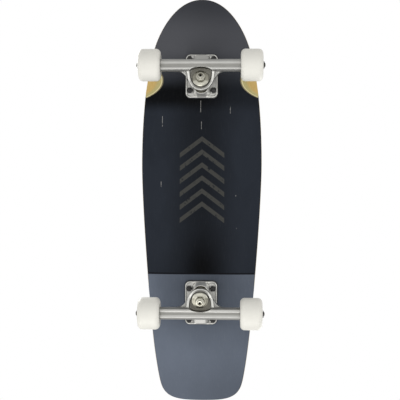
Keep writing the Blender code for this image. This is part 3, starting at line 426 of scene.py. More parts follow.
def band(shape, lower, upper):
    """Join two loops of points with quads."""
    for i in range(len(lower)):
        j = (i + 1) % len(lower)
        shape.faces.new((lower[i], lower[j], upper[j], upper[i]))


def skin(rings):
    """Join rings of points with quads and close both ends."""
    shape = bmesh.new()
    loops = [[shape.verts.new(point) for point in ring] for ring in rings]
    for lower, upper in zip(loops, loops[1:]):
        band(shape, lower, upper)
    shape.faces.new(loops[0])
    shape.faces.new(loops[-1])
    return shape


def stepped_prism(name, outline, *steps):
    """An outline in X and Y, raised through steps of (inset, height)."""
    return new_object(name, skin([[(x, y, z) for x, y in inset(outline, back)]
                                  for back, z in steps]))


def prism(name, outline, low, high):
    return new_object(name, skin([[(x, y, z) for x, y in outline] for z in (low, high)]))


def side_skin(outline, half_width):
    """An outline in X and Z, widened to both sides of the middle plane."""
    return skin([[(x, y, z) for x, z in outline] for y in (-half_width, half_width)])


def side_prism(name, outline, half_width):
    return new_object(name, side_skin(outline, half_width))


def inset(outline, distance):
    """Move an outline inwards, corner by corner."""
    moved = []
    for i, (x, y) in enumerate(outline):
        back = Vector((x - outline[i - 1][0], y - outline[i - 1][1])).normalized()
        ahead = outline[(i + 1) % len(outline)]
        forward = Vector((ahead[0] - x, ahead[1] - y)).normalized()
        along = (back + forward).normalized()
        stretch = 1 / max(0.5, along.dot(forward))
        moved.append((x - along.y * distance * stretch, y + along.x * distance * stretch))
    return moved


def arc(middle, radius, start, end, steps):
    """Points on an arc, from one angle in degrees to another, with both ends."""
    points = []
    for step in range(steps + 1):
        way = math.radians(start + (end - start) * step / steps)
        points.append((middle[0] + radius * math.cos(way), middle[1] + radius * math.sin(way)))
    return points


def rounded_rectangle(length, width, corner, steps=12):
    points = []
    for quarter, (side_x, side_y) in enumerate(((1, 1), (-1, 1), (-1, -1), (1, -1))):
        middle = (side_x * (length / 2 - corner), side_y * (width / 2 - corner))
        points += arc(middle, corner, 90 * quarter, 90 * (quarter + 1), steps)
    return points


def bezier(start, pull, push, end, steps):
    """Points along a cubic curve whose handles are given from its ends, without its last point."""
    pull, push = start + pull, end + push
    curve = []
    for step in range(steps):
        t = step / steps
        u = 1 - t
        curve.append(u**3 * start + 3 * u**2 * t * pull + 3 * u * t**2 * push + t**3 * end)
    return curve


def mirrored_outline(half, side=1):
    """A whole outline from its half at one side of the middle line, on which it starts."""
    back = half[1:-1] if abs(half[-1][1]) < GAP else half[1:]
    return [(x, side * y) for x, y in half] + [(x, -side * y) for x, y in reversed(back)]


def cast_skin(obj, voxel, rounds):
    """Round the edges and corners of joined bodies, as a casting has them."""
    remesh = obj.modifiers.new("voxels", "REMESH")
    remesh.mode = "VOXEL"
    remesh.voxel_size = voxel
    smooth = obj.modifiers.new("smooth", "SMOOTH")
    smooth.factor = 0.5
    smooth.iterations = rounds
    bake_modifiers(obj)


def thread(start, end, radius, pitch, depth=0.00025):
    """Profile points of a threaded stretch of a pin."""
    count = max(1, round(abs(end - start) / pitch))
    step = (end - start) / count
    points = []
    for i in range(count):
        points += [(start + step * i, radius - depth), (start + step * (i + 0.5), radius)]
    return points + [(end, radius - depth)]


# Geometry node trees

def tree_input(tree, name, kind, default=None):
    socket = tree.interface.new_socket(name, in_out="INPUT", socket_type="NodeSocket" + kind)
    if default is not None:
        socket.default_value = default


def geometry_tree(name, inputs, kinds, links):
    """A tree that puts out one piece. Each link says the node and the socket at its two ends."""
    tree = bpy.data.node_groups.new(name, "GeometryNodeTree")
    for label, kind, default in inputs:
        tree_input(tree, label, kind, default)
    tree.interface.new_socket("Piece", in_out="OUTPUT", socket_type="NodeSocketGeometry")
    nodes = {key: tree.nodes.new("GeometryNode" + kind) for key, kind in kinds.items()}
    nodes["given"] = tree.nodes.new("NodeGroupInput")
    nodes["result"] = tree.nodes.new("NodeGroupOutput")
    for link in links:
        (source, output), (target, entry) = (end.split(".") for end in link.split(" to "))
        tree.links.new(nodes[source].outputs[output], nodes[target].inputs[entry])
    return tree, nodes


def turned_piece(name):
    """Sweeps a profile round a circle and closes it at its poles."""
    tree, nodes = geometry_tree(
        name,
        (("Profile", "Geometry", None), ("Segments", "Int", SEGMENTS), ("Core Radius", "Float", CORE),
         ("Finish", "Material", None)),
        {"profile": "MeshToCurve", "circle": "CurvePrimitiveCircle", "upright": "SetCurveNormal",
         "sweep": "CurveToMesh", "merge": "MergeByDistance", "finish": "SetMaterial"},
        ("given.Profile to profile.Mesh", "given.Segments to circle.Resolution",
         "given.Core Radius to circle.Radius", "circle.Curve to upright.Curve",
         "upright.Curve to sweep.Curve", "profile.Curve to sweep.Profile Curve",
         "sweep.Mesh to merge.Geometry", "merge.Geometry to finish.Geometry",
         "given.Finish to finish.Material", "finish.Geometry to result.Piece"))
    nodes["upright"].mode = "Z_UP"
    nodes["merge"].inputs["Distance"].default_value = WELD
    return tree


def bolt_pattern(name):
    """Sets one piece down on every point."""
    return geometry_tree(
        name,
        (("Places", "Geometry", None), ("Pattern", "Object", None), ("Finish", "Material", None)),
        {"pattern": "ObjectInfo", "copies": "InstanceOnPoints", "real": "RealizeInstances",
         "finish": "SetMaterial"},
        ("given.Pattern to pattern.Object", "given.Places to copies.Points",
         "pattern.Geometry to copies.Instance", "copies.Instances to real.Geometry",
         "real.Geometry to finish.Geometry", "given.Finish to finish.Material",
         "finish.Geometry to result.Piece"))[0]


def kept_tree(make):
    """The node tree that a function makes, made the first time it is asked for."""
    name = make.__name__.replace("_", " ").title()
    return bpy.data.node_groups.get(name) or make(name)


def grow(obj, make, **values):
    """Run a node tree over an object, with its inputs given by name."""
    tree = kept_tree(make)
    modifier = obj.modifiers.new(tree.name, "NODES")
    modifier.node_group = tree
    for item in tree.interface.items_tree:
        if item.in_out == "INPUT" and item.name in values:
            modifier[item.identifier] = values[item.name]
    bake_modifiers(obj)


def aimed(origin, axis):
    return Matrix.Translation(origin) @ axis.to_track_quat("Z", "Y").to_matrix().to_4x4()


def turned(name, profile, origin=Vector(), axis=UP, finish=None, bored=False, segments=SEGMENTS):
    """Turn a profile of (place along the axis, radius). A bored one closes on itself."""
    count = len(profile)
    edges = [(i, (i + 1) % count) for i in range(count if bored else count - 1)]
    mesh = bpy.data.meshes.new(name)
    mesh.from_pydata([(radius - CORE, -place, 0) for place, radius in profile], edges, [])
    obj = link_mesh(name, mesh)
    grow(obj, turned_piece, Segments=segments, Finish=finish and kept_finish(finish))
    obj.data.transform(aimed(origin, axis))
    shape = bmesh.new()
    shape.from_mesh(obj.data)
    bmesh.ops.recalc_face_normals(shape, faces=shape.faces)
    shape.to_mesh(obj.data)
    shape.free()
    return obj


def rod(start, end, radius, origin=Vector(), axis=UP, segments=SEGMENTS):
    profile = [(start, 0), (start, radius), (end, radius), (end, 0)]
    return turned("rod", profile, origin, axis, segments=segments)


def finished(obj, finish=None, smooth_angle=SMOOTH_ANGLE):
    """Give a piece its finish and its shading."""
    if finish:
        obj.data.materials.clear()
        obj.data.materials.append(kept_finish(finish))
    obj.data.shade_smooth()
    obj.data.set_sharp_from_angle(angle=math.radians(smooth_angle))
    return obj


def refinish(obj, finish, chosen):
    """Give the faces that a test picks by their middles a second finish."""
    obj.data.materials.append(kept_finish(finish))
    for polygon in obj.data.polygons:
        if chosen(polygon.center):
            polygon.material_index = 1


def mark(obj, name, share):
    """Write a share from 0 to 1 at each point: how much painted shade, or how much painted highlight,
    it takes.
    """
    layer = obj.data.attributes.new(name, "FLOAT", "POINT")
    layer.data.foreach_set("value", [clamped(share(vertex.co)) for vertex in obj.data.vertices])


def place_copy(pattern, name, matrix, body, slot, *nodes, bend=None):
    """Set a copy of a pattern down, let it ride on a body and stand for nodes of the model.

    A soft piece, given the two places where it would bend from that body to the board, is set down
    without riding on any body."""
    mesh = pattern.data.copy()
    mesh.name = name
    mesh.transform(matrix)
    piece = link_mesh(name, mesh)
    if bend:
        start, end = (matrix @ place for place in bend)
        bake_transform(piece)
    else:
        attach(piece, body)
    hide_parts(*nodes)


def at_both_trucks(pattern, name, body, slot, *nodes, bend=None):
    """Set a truck piece down at both ends. A name in braces stands for the end."""
    for end, matrix in TRUCKS.items():
        place_copy(pattern, f"{end}_{name}", matrix, body.format(end=end), slot,
                   *(node.format(end=end) for node in nodes), bend=bend)
    discard(pattern)


# Shader node groups and finishes

class Value:
    """A value that runs through a shader tree. What is reckoned with it becomes nodes."""

    def __init__(self, recipe, socket):
        self.recipe = recipe
        self.socket = socket

    def __add__(self, other):
        return self.recipe.math("ADD", self, other)

    def __sub__(self, other):
        return self.recipe.math("SUBTRACT", self, other)

    def __rsub__(self, other):
        return self.recipe.math("SUBTRACT", other, self)

    def __mul__(self, other):
        return self.recipe.math("MULTIPLY", self, other)

    def __abs__(self):
        return self.recipe.math("ABSOLUTE", self)

    def larger(self, other):
        return self.recipe.math("MAXIMUM", self, other)

    def swing(self, span):
        """Runs up and down between 0 and the span."""
        return self.recipe.math("PINGPONG", self, span)

    def ramp(self, low, high, to_low=0.0, to_high=1.0):
        """A smooth step from one value to another."""
        return self.recipe.new("MapRange", 0, {0: self, 1: low, 2: high, 3: to_low, 4: to_high},
                               interpolation_type="SMOOTHSTEP")


class Recipe:
    """Adds nodes to one shader tree."""

    def __init__(self, tree):
        self.tree = tree

    def add(self, kind, inputs=None, **values):
        node = self.tree.nodes.new("ShaderNode" + kind)
        for name, value in values.items():
            setattr(node, name, value)
        for name, value in (inputs or {}).items():
            self.feed(node.inputs[name], value)
        return node

    def feed(self, socket, value):
        if isinstance(value, Value):
            self.tree.links.new(value.socket, socket)
        elif socket.type == "RGBA" and len(value) == 3:
            socket.default_value = (*value, 1.0)
        else:
            socket.default_value = value

    def new(self, kind, output, inputs=None, **values):
        """One output of a new node."""
        return Value(self, self.add(kind, inputs, **values).outputs[output])

    def outputs(self, node):
        return {socket.name: Value(self, socket) for socket in node.outputs}

    def math(self, operation, *values):
        return self.new("Math", 0, dict(enumerate(values)), operation=operation)

    def blend(self, share, first, second):
        return self.new("Mix", 2, {0: share, 6: first, 7: second}, data_type="RGBA")

    def noise(self, scale, detail, roughness, place):
        return self.new("TexNoise", 0, {"Vector": place, "Scale": scale, "Detail": detail,
                                        "Roughness": roughness})

    def group(self, make, **values):
        """What the shader node group that a function makes puts out."""
        return self.outputs(self.add("Group", values, node_tree=kept_tree(make)))


def shader_group(name, inputs):
    """A new shader node group: its recipe and the values that it is given."""
    tree = bpy.data.node_groups.new(name, "ShaderNodeTree")
    for label, default in inputs.items():
        tree_input(tree, label, "Vector" if default is None else "Float", default)
    recipe = Recipe(tree)
    return recipe, recipe.outputs(tree.nodes.new("NodeGroupInput"))


def put_out(recipe, **values):
    """Give a shader node group its outputs."""
    for label in values:
        recipe.tree.interface.new_socket(label, in_out="OUTPUT", socket_type="NodeSocketFloat")
    result = recipe.tree.nodes.new("NodeGroupOutput")
    for label, value in values.items():
        recipe.feed(result.inputs[label], value)
    return recipe.tree


def surface_grain(name):
    """Fine unevenness: a tone that drifts over the piece, and a height for bump."""
    recipe, given = shader_group(name, {"Place": None, "Scale": 100.0, "Drift": 8.0})
    fine = recipe.noise(given["Scale"], 4.0, 0.6, given["Place"])
    broad = recipe.noise(given["Drift"], 3.0, 0.55, given["Place"])
    return put_out(recipe, Tone=fine * 0.4 + broad * 0.6, Height=fine)


def scratches(name):
    """Thin straight scratches in one direction, in patches."""
    recipe, given = shader_group(name, {"Place": None, "Scale": 60.0, "Amount": 0.3})
    patch_scale, patch_end, half_line = 0.13, 0.72, 0.012
    line = recipe.noise(given["Scale"], 1.0, 0.4, given["Place"])
    patch = recipe.noise(given["Scale"] * patch_scale, 2.0, 0.5, given["Place"])
    thin = abs(line - 0.5).ramp(half_line, 0.0)
    return put_out(recipe, Mask=thin * patch.ramp(patch_end - given["Amount"], patch_end))


def edge_wear(name):
    """Worn convex edges and darker hollows, from how far the surface bulges."""
    recipe, given = shader_group(name, {"Place": None, "Bulge": 0.5, "Reach": 0.04})
    flat, least = 0.5, 0.005
    uneven = recipe.noise(240.0, 3.0, 0.6, given["Place"]).ramp(0.3, 0.7, 0.6, 1.0)
    worn = given["Bulge"].ramp(flat + least, given["Reach"] + flat)
    dark_hollows = given["Bulge"].ramp(flat - least, flat - given["Reach"])
    return put_out(recipe, Worn=worn * uneven, Dirt=dark_hollows * uneven)


class Finish(Recipe):
    """A new material with a Principled shader, the object's coordinates and the shared groups."""

    def __init__(self, name, **shader_values):
        self.material = bpy.data.materials.new(name)
        self.material.use_nodes = True
        super().__init__(self.material.node_tree)
        self.shader = self.tree.nodes["Principled BSDF"]
        for label, value in shader_values.items():
            self.set(label.replace("_", " "), value)
        self.place = self.new("TexCoord", "Object")

    def set(self, label, value):
        self.feed(self.shader.inputs[label], value)

    def stretched(self, *scale):
        return self.new("Mapping", 0, {"Vector": self.place, "Scale": scale})

    def noise(self, scale, detail, roughness, place=None):
        return super().noise(scale, detail, roughness, place or self.place)

    def grain(self, scale, drift):
        return self.group(surface_grain, Place=self.place, Scale=scale, Drift=drift)

    def edges(self, reach):
        bulge = self.new("NewGeometry", "Pointiness")
        return self.group(edge_wear, Place=self.place, Bulge=bulge, Reach=reach)

    def attribute(self, name):
        return self.new("Attribute", "Fac", attribute_name=name)

    def roughen(self, tone, smoothest, roughest):
        self.set("Roughness", tone.ramp(0.3, 0.7, smoothest, roughest))

    def bump(self, height, strength, distance):
        self.set("Normal", self.new("Bump", "Normal", {"Height": height, "Strength": strength,
                                                       "Distance": distance}))

    def shade(self, tone, base, depth):
        """The base colour, lighter and darker by the tone."""
        light = [min(1.0, channel * (1 + depth)) for channel in base]
        dark = [channel * (1 - depth) for channel in base]
        return self.blend(tone.ramp(0.25, 0.75), dark, light)


def kept_finish(make):
    """The finish that a function makes, made the first time it is asked for."""
    name = make.__name__ + "_finish"
    return bpy.data.materials.get(name) or make(name)


BLACK = (0.0, 0.0, 0.0)
PAINTED_SHADE_COLOUR = (0.075, 0.068, 0.045)           # painted shade on bare metal: hollows, shaded sides and parts in shadow
CAST_HOLLOWS = (0.09, 0.087, 0.075)
STEEL_HOLLOWS = (0.12, 0.11, 0.09)
BARE_EDGE = (0.10, 0.097, 0.093)        # of blackened steel
WHEEL_SCUFF = (0.50, 0.47, 0.42)
GRIT_SPARK = (0.10, 0.10, 0.105)
MAPLE_FIBRE = (0.70, 0.56, 0.30)
MAPLE_PORE = (0.17, 0.10, 0.04)
DARK_RIM = (0.050, 0.046, 0.028)
PALE_LINE = (0.60, 0.55, 0.31)
NOSE_SHEEN = (0.077, 0.079, 0.088)
BLACK_STREAK = (0.060, 0.062, 0.068)
GREY_STREAK = (0.20, 0.215, 0.235)
SPLIT_LINE = (0.003, 0.003, 0.004)
SCRATCHED_PAINT = (0.30, 0.295, 0.28)


def cast_aluminium(name):
    """Cast skin, brighter on worn edges, with painted highlights on crowns, rims and the kingpin boss;
    darker in hollows, and with painted shade where it is marked.
    """
    base = settings().colours.cast
    finish = Finish(name, Metallic=0.7)
    grain = finish.grain(900.0, 35.0)
    edges = finish.edges(0.03)
    bright = [3.6 * channel for channel in base]
    # Worn edges are brightened, and so are the marked crowns, rims and boss: a painted highlight.
    wear_and_highlight = (edges["Worn"] * 0.65).larger(finish.attribute("polished"))
    worn = finish.blend(wear_and_highlight, finish.shade(grain["Tone"], base, 0.14), bright)
    # Darker where the surface bends inwards.
    hollows_darkened = finish.blend(edges["Dirt"] * 0.75, worn, CAST_HOLLOWS)
    # Painted shade where the casting is marked: the hollow round the kingpin and the groove.
    finish.set("Base Color", finish.blend(finish.attribute("sheltered") * 0.68, hollows_darkened, PAINTED_SHADE_COLOUR))
    finish.set("Roughness", grain["Tone"].ramp(0.3, 0.7, 0.30, 0.44) - edges["Worn"] * 0.1)
    finish.bump(grain["Height"], 0.35, 0.0002)
    return finish.material


def plated_steel(name, base, roughness, spread):
    """Bright steel, a little dulled in patches, darker in hollows, and with painted shade where it is
    marked.
    """
    finish = Finish(name, Metallic=1.0)
    grain = finish.grain(1500.0, 60.0)
    tone = finish.shade(grain["Tone"], base, spread)
    # Darker where the surface bends inwards.
    hollows_darkened = finish.blend(finish.edges(0.06)["Dirt"] * 0.6, tone, STEEL_HOLLOWS)
    # Painted shade where the piece is marked.
    finish.set("Base Color", finish.blend(finish.attribute("sheltered") * 0.95, hollows_darkened, PAINTED_SHADE_COLOUR))
    finish.roughen(grain["Tone"], roughness - 0.05, roughness + 0.1)
    finish.bump(grain["Height"], 0.15, 0.0001)
    return finish.material


def zinc_plating(name):
    return plated_steel(name, settings().colours.zinc, 0.26, 0.10)


def bright_steel(name):
    return plated_steel(name, settings().colours.steel, 0.24, 0.06)


def black_steel(name):
    finish = Finish(name, Specular_IOR_Level=0.15)
    grain = finish.grain(1200.0, 90.0)
    tone = finish.shade(grain["Tone"], settings().colours.black_steel, 0.3)
    finish.set("Base Color", finish.blend(finish.edges(0.05)["Worn"] * 0.35, tone, BARE_EDGE))
    finish.roughen(grain["Tone"], 0.34, 0.50)
    finish.bump(grain["Height"], 0.2, 0.0001)
    return finish.material


def rubber(name, base, roughness):
    """Moulded rubber or urethane with a faint bloom."""
    finish = Finish(name)
    grain = finish.grain(700.0, 40.0)
    finish.set("Base Color", finish.shade(grain["Tone"], base, 0.25))
    finish.roughen(grain["Tone"], roughness - 0.08, roughness + 0.1)
    finish.bump(grain["Height"], 0.3, 0.0002)
    return finish.material


def pad_rubber(name):
    return rubber(name, settings().colours.pad, 0.75)


def bushing_urethane(name):
    return rubber(name, settings().colours.bushing, 0.45)


def bearing_shield(name):
    return rubber(name, settings().colours.shield, 0.42)


def cup_urethane(name):
    return rubber(name, settings().colours.pad, 0.6)


def wheel_urethane(name):
    """Off-white urethane with fine scuffs along the tread."""
    finish = Finish(name, Specular_IOR_Level=0.35)
    grain = finish.grain(500.0, 26.0)
    tone = finish.shade(grain["Tone"], settings().colours.wheel, 0.035)
    along = finish.stretched(14.0, 1.0, 14.0)
    scuffs = finish.group(scratches, Place=along, Scale=40.0, Amount=0.22)["Mask"]
    finish.set("Base Color", finish.blend(scuffs * 0.5, tone, WHEEL_SCUFF))
    finish.roughen(grain["Tone"], 0.36, 0.52)
    finish.bump(grain["Height"], 0.12, 0.0002)
    return finish.material


def grip_paper(name):
    """Black abrasive: sharp grains, some of which catch the light."""
    finish = Finish(name, Specular_IOR_Level=0.4)
    grit = finish.outputs(finish.add("TexVoronoi", {"Vector": finish.place, "Scale": 1700.0}))
    tone = finish.shade(finish.grain(900.0, 10.0)["Tone"], settings().colours.grip, 0.4)
    spark = grit["Color"].ramp(0.80, 0.95)
    finish.set("Base Color", finish.blend(spark * 0.35, tone, GRIT_SPARK))
    finish.set("Roughness", spark.ramp(0.0, 1.0, 0.92, 0.55))
    finish.bump(grit["Distance"], 0.7, 0.0004)
    return finish.material


def maple(name, tint):
    """Bare maple: fibres and pores over the tint that a function gives for a depth in the deck."""
    finish = Finish(name, Specular_IOR_Level=0.3)
    fibres = finish.noise(8.0, 4.0, 0.65, finish.stretched(14.0, 220.0, 220.0))
    pores = finish.noise(3.0, 3.0, 0.6, finish.stretched(40.0, 900.0, 900.0))
    wood = tint(finish, finish.attribute("ply_depth"))
    grained = finish.blend(fibres.ramp(0.30, 0.72, 0.0, 0.35), wood, MAPLE_FIBRE)
    finish.set("Base Color", finish.blend(pores.ramp(0.60, 0.78, 0.0, 0.45), grained, MAPLE_PORE))
    finish.set("Roughness", fibres.ramp(0.2, 0.8, 0.5, 0.68))
    finish.bump(fibres, 0.25, 0.0003)
    return finish.material


def ply_tint(finish, depth):
    """Pale and warm plies in turn, with a glue line between them."""
    colours = settings().colours
    plies = finish.math("DIVIDE", depth, settings().deck.ply)
    within = finish.math("FRACT", plies)
    wood = finish.blend(plies.swing(1.0).ramp(0.45, 0.55), colours.pale_ply, colours.warm_ply)
    near_glue = finish.math("MINIMUM", within, 1.0 - within)
    return finish.blend(near_glue.ramp(0.14, 0.05, 0.0, 0.6), wood, colours.glue)


def scooped_tint(finish, depth):
    """A well from its rim inwards: dark edge, pale line, tan ply, and a warm ply in the middle."""
    colours = settings().colours
    line = finish.blend(depth.ramp(0.00030, 0.00045), DARK_RIM, PALE_LINE)
    tan = finish.blend(depth.ramp(0.00065, 0.00085), line, colours.scooped_ply)
    return finish.blend(depth.ramp(0.0013, 0.0026), tan, colours.warm_ply)


def bare_plies(name):
    return maple(name, ply_tint)


def scooped_plies(name):
    return maple(name, scooped_tint)


PAINT_SPLIT = -0.1277           # where the black paint ends and the grey tail begins
SPLIT_SOFT = 0.0006
MARK_MIDDLE = (0.0526, 0.0008)
MARK_LENGTH = 0.1367
MARK_WIDTH = 0.078
MARK_LINE = 0.0044              # half the width of one chevron's line
MARK_SLANT = 0.75
MARK_COUNT = 6
# Scuffs in the paint: place towards the nose, place to the left, length
SCUFFS = ((0.166, -0.0018, 0.020), (0.133, -0.0004, 0.013), (0.160, 0.0500, 0.012),
          (0.140, -0.0690, 0.018), (0.030, -0.0710, 0.009), (0.010, 0.0600, 0.002),
          (-0.047, 0.0616, 0.002))
SCUFF_WIDTH = 0.0007
SCUFF_SOFT = 0.0004


def scuff_mask(x, y):
    """The scuffs in the paint, each a short rectangle."""
    mask = None
    for place_x, place_y, length in SCUFFS:
        past_end = abs(x - place_x) - length / 2
        past_side = abs(y - place_y) - SCUFF_WIDTH / 2
        scuff = past_end.larger(past_side).ramp(SCUFF_SOFT, -SCUFF_SOFT)
        mask = mask.larger(scuff) if mask else scuff
    return mask


def mark_mask(finish, x, y):
    """A column of plain chevrons on the underside, a little worn."""
    soft = 0.0002
    aside = abs(y - MARK_MIDDLE[1])
    slanted = x - (MARK_MIDDLE[0] - MARK_LENGTH / 2) + aside * MARK_SLANT
    half_step = MARK_LENGTH / MARK_COUNT / 2
    line = half_step - MARK_LINE
    lines = slanted.swing(half_step).ramp(line - soft, line + soft)
    column = aside.ramp(MARK_WIDTH / 2 + soft, MARK_WIDTH / 2 - soft)
    start = slanted.ramp(-soft, soft)
    end = slanted.ramp(MARK_LENGTH + soft, MARK_LENGTH - soft)
    worn = finish.noise(130.0, 4.0, 0.7).ramp(0.30, 0.46)
    return (lines * column) * (start * end) * worn


def black_stain(finish, x, y, streaks, clouds):
    """The black nose and middle, with painted light: darker down the middle (a painted dark reflection
    of the camera) and behind the front truck (a painted shadow), lighter at the nose (a painted sheen).
    """
    # Painted dark reflection of the camera down the middle, strongest near the split.
    middle = abs(y - MARK_MIDDLE[1]).ramp(0.075, 0.0) * x.ramp(-0.03, -0.12, 0.55, 0.95)
    # Painted shadow of the front truck.
    truck_shadow = abs(x - 0.187).ramp(0.035, 0.008) * y.ramp(0.06, -0.02, 0.4, 0.9)
    cloudy = ((1.0 - middle) * (1.0 - truck_shadow)) * clouds.ramp(0.3, 0.75, 0.88, 1.14)
    black = finish.blend(cloudy, BLACK, settings().colours.black_paint)
    # Painted sheen on the nose's kick.
    nose_sheen = x.ramp(0.19, 0.27) * x.ramp(0.29, 0.35, 1.0, 0.45)
    nose = finish.blend(nose_sheen * y.ramp(-0.06, 0.06, 1.0, 0.8), black, NOSE_SHEEN)
    return finish.blend(streaks.ramp(0.52, 0.80) * 0.14, nose, BLACK_STREAK)


def grey_stain(finish, x, y, streaks, clouds):
    """The grey tail, with painted shade: darker down the middle near the split, from the rear truck's
    shadow and the camera's dark reflection, and darker at the far end and towards the left edge.
    """
    grey = [1.08 * channel for channel in settings().colours.grey_paint]
    cloudy = finish.blend(clouds.ramp(0.25, 0.75), [0.94 * channel for channel in grey],
                          [1.06 * channel for channel in grey])
    # Painted shade down the middle near the split, at the far end and towards the left edge.
    split_shade = abs(y - MARK_MIDDLE[1]).ramp(0.09, 0.02) * x.ramp(-0.23, -0.15, 0.0, 0.32)
    end_shade = x.ramp(-0.26, -0.35, 0.0, 0.18) + y.ramp(-0.06, 0.09, 0.0, 0.16)
    shaded = finish.blend(split_shade + end_shade, cloudy, BLACK)
    return finish.blend(streaks.ramp(0.5, 0.8) * 0.18, shaded, GREY_STREAK)


def painted_maple(name):
    """Stained black from the nose to behind the middle, grey from there to the tail."""
    finish = Finish(name, Specular_IOR_Level=0.04)
    place = finish.outputs(finish.add("SeparateXYZ", {"Vector": finish.place}))
    x, y = place["X"], place["Y"]
    streaks = finish.noise(6.0, 5.0, 0.65, finish.stretched(10.0, 120.0, 120.0))
    clouds = finish.noise(1.0, 4.0, 0.6, finish.stretched(9.0, 16.0, 16.0))
    fine = finish.noise(3.0, 3.0, 0.6, finish.stretched(60.0, 900.0, 900.0))
    broken = finish.noise(2.0, 2.0, 0.5, finish.stretched(150.0, 700.0, 700.0)).ramp(0.35, 0.55)
    hair = finish.noise(1.0, 1.0, 0.4, finish.stretched(5.0, 420.0, 420.0)).ramp(0.80, 0.86)

    ragged = x + (streaks - 0.5) * 0.001
    painted = finish.blend(ragged.ramp(PAINT_SPLIT + SPLIT_SOFT, PAINT_SPLIT - SPLIT_SOFT),
                           black_stain(finish, x, y, streaks, clouds),
                           grey_stain(finish, x, y, streaks, clouds))
    on_line = abs(ragged - (PAINT_SPLIT + 0.001)).ramp(0.0022, SPLIT_SOFT, 0.0, 0.85)
    lined = finish.blend(on_line, painted, SPLIT_LINE)
    marked = finish.blend(mark_mask(finish, x, y), lined, settings().colours.mark)
    worn = (scuff_mask(x, y) * broken).larger(hair * 0.12)
    finish.set("Base Color", finish.blend(worn, marked, SCRATCHED_PAINT))
    finish.roughen(clouds, 0.36, 0.50)
    finish.bump(streaks * 0.6 + fine * 0.4, 0.22, 0.0003)
    return finish.material


# The pressed deck

def deck_outline(steps=24):
    """Counter-clockwise outline from the nose tip, along +Y first."""
    deck = settings().deck
    nose = Vector((deck.length / 2, 0))
    nose_shoulder = Vector((nose.x - deck.nose_shoulder, deck.nose_shoulder_half))
    nose_way = Vector((math.cos(deck.nose_shoulder_turn), -math.sin(deck.nose_shoulder_turn)))
    widest = Vector((deck.widest_place, deck.width / 2))
    tail = Vector((-deck.length / 2, 0))
    tail_shoulder = Vector((tail.x + deck.tail_shoulder, deck.tail_shoulder_half))
    tail_way = Vector((math.cos(deck.tail_shoulder_turn), math.sin(deck.tail_shoulder_turn)))
    half = bezier(nose, Vector((0, deck.nose_tip_handle)), nose_way * deck.nose_shoulder_handle,
                  nose_shoulder, steps)
    half += bezier(nose_shoulder, -nose_way * deck.nose_side_handle,
                   Vector((deck.front_waist_handle, 0)), widest, steps)
    half += bezier(widest, Vector((-deck.rear_waist_handle, 0)), tail_way * deck.tail_side_handle,
                   tail_shoulder, steps)
    half += bezier(tail_shoulder, -tail_way * deck.tail_shoulder_handle,
                   Vector((0, deck.tail_end_handle)), tail, steps)
    return mirrored_outline(half + [tail])


def kick_rise(distance, bend, slope):
    """Rise of a kick at a distance past its start: a bend that runs into a straight ramp."""
    if distance <= 0:
        return 0.0
    if distance < bend:
        return math.tan(slope) * distance**2 / (2 * bend)
    return math.tan(slope) * (distance - bend / 2)


def mould(x, y):
    """Height of the pressed deck's underside over its flat middle."""
    deck = settings().deck
    nose_start = TRUCKS["front"].translation.x + BOLTS_ALONG / 2 + deck.nose_kick_start
    tail_start = TRUCKS["rear"].translation.x - BOLTS_ALONG / 2 - deck.tail_kick_start
    nose = kick_rise(x - nose_start, deck.nose_kick_bend, deck.nose_kick)
    tail = kick_rise(tail_start - x, deck.tail_kick_bend, deck.tail_kick)
    outside = max(0.0, abs(y) - deck.flat_strip / 2)
    side = deck.width / 2 - deck.flat_strip / 2
    return nose + tail + deck.concave_rise * (outside / side) ** 2


def mould_normal(x, y):
    small = 0.0005
    slope_x = (mould(x + small, y) - mould(x - small, y)) / (2 * small)
    slope_y = (mould(x, y + small) - mould(x, y - small)) / (2 * small)
    return Vector((-slope_x, -slope_y, 1)).normalized()


def pressed(x, y, depth):
    """Where a point of the flat blank goes: depth is counted up from the deck's underside."""
    return Vector((x, y, DECK_BOTTOM + mould(x, y))) + mould_normal(x, y) * depth


def sheet(name, outline, rim, columns=56):
    """A pressed sheet. Its rim is given as (inset, depth) from the underside to the top."""
    shape = bmesh.new()
    count = len(outline)
    loops = [[shape.verts.new(pressed(x, y, depth)) for x, y in inset(outline, back)]
             for back, depth in rim]
    for lower, upper in zip(loops, loops[1:]):
        band(shape, lower, upper)
    for loop, (back, depth) in ((loops[0], rim[0]), (loops[-1], rim[-1])):
        flat = inset(outline, back)
        rows = [[loop[0]] * (columns + 1)]
        for i in range(1, count // 2):
            x, half = flat[i]
            row = [shape.verts.new(pressed(x, half * (1 - 2 * column / columns), depth))
                   for column in range(1, columns)]
            rows.append([loop[i]] + row + [loop[count - i]])
        rows.append([loop[count // 2]] * (columns + 1))
        for ahead, behind in zip(rows, rows[1:]):
            for i in range(columns):
                corners = dict.fromkeys((ahead[i], ahead[i + 1], behind[i + 1], behind[i]))
                shape.faces.new(list(corners))
    return new_object(name, shape)


def bolt_centres(height):
    """Places of the eight bolts on the deck."""
    return [matrix @ Vector((place.x, place.y, height)) for matrix in TRUCKS.values()
            for place in BOLT_PLACES]


def rounded_rim(thickness, radius, steps, straight):
    """Edge profile of a sheet, from its underside round to its top, as (inset, depth)."""
    low = [(radius - radius * math.sin(way), radius - radius * math.cos(way))
           for way in (math.pi / 2 * step / steps for step in range(steps + 1))]
    middle = [(0.0, radius + (thickness - 2 * radius) * step / straight)
              for step in range(1, straight)]
    high = [(back, thickness - depth) for back, depth in reversed(low)]
    return low + middle + high


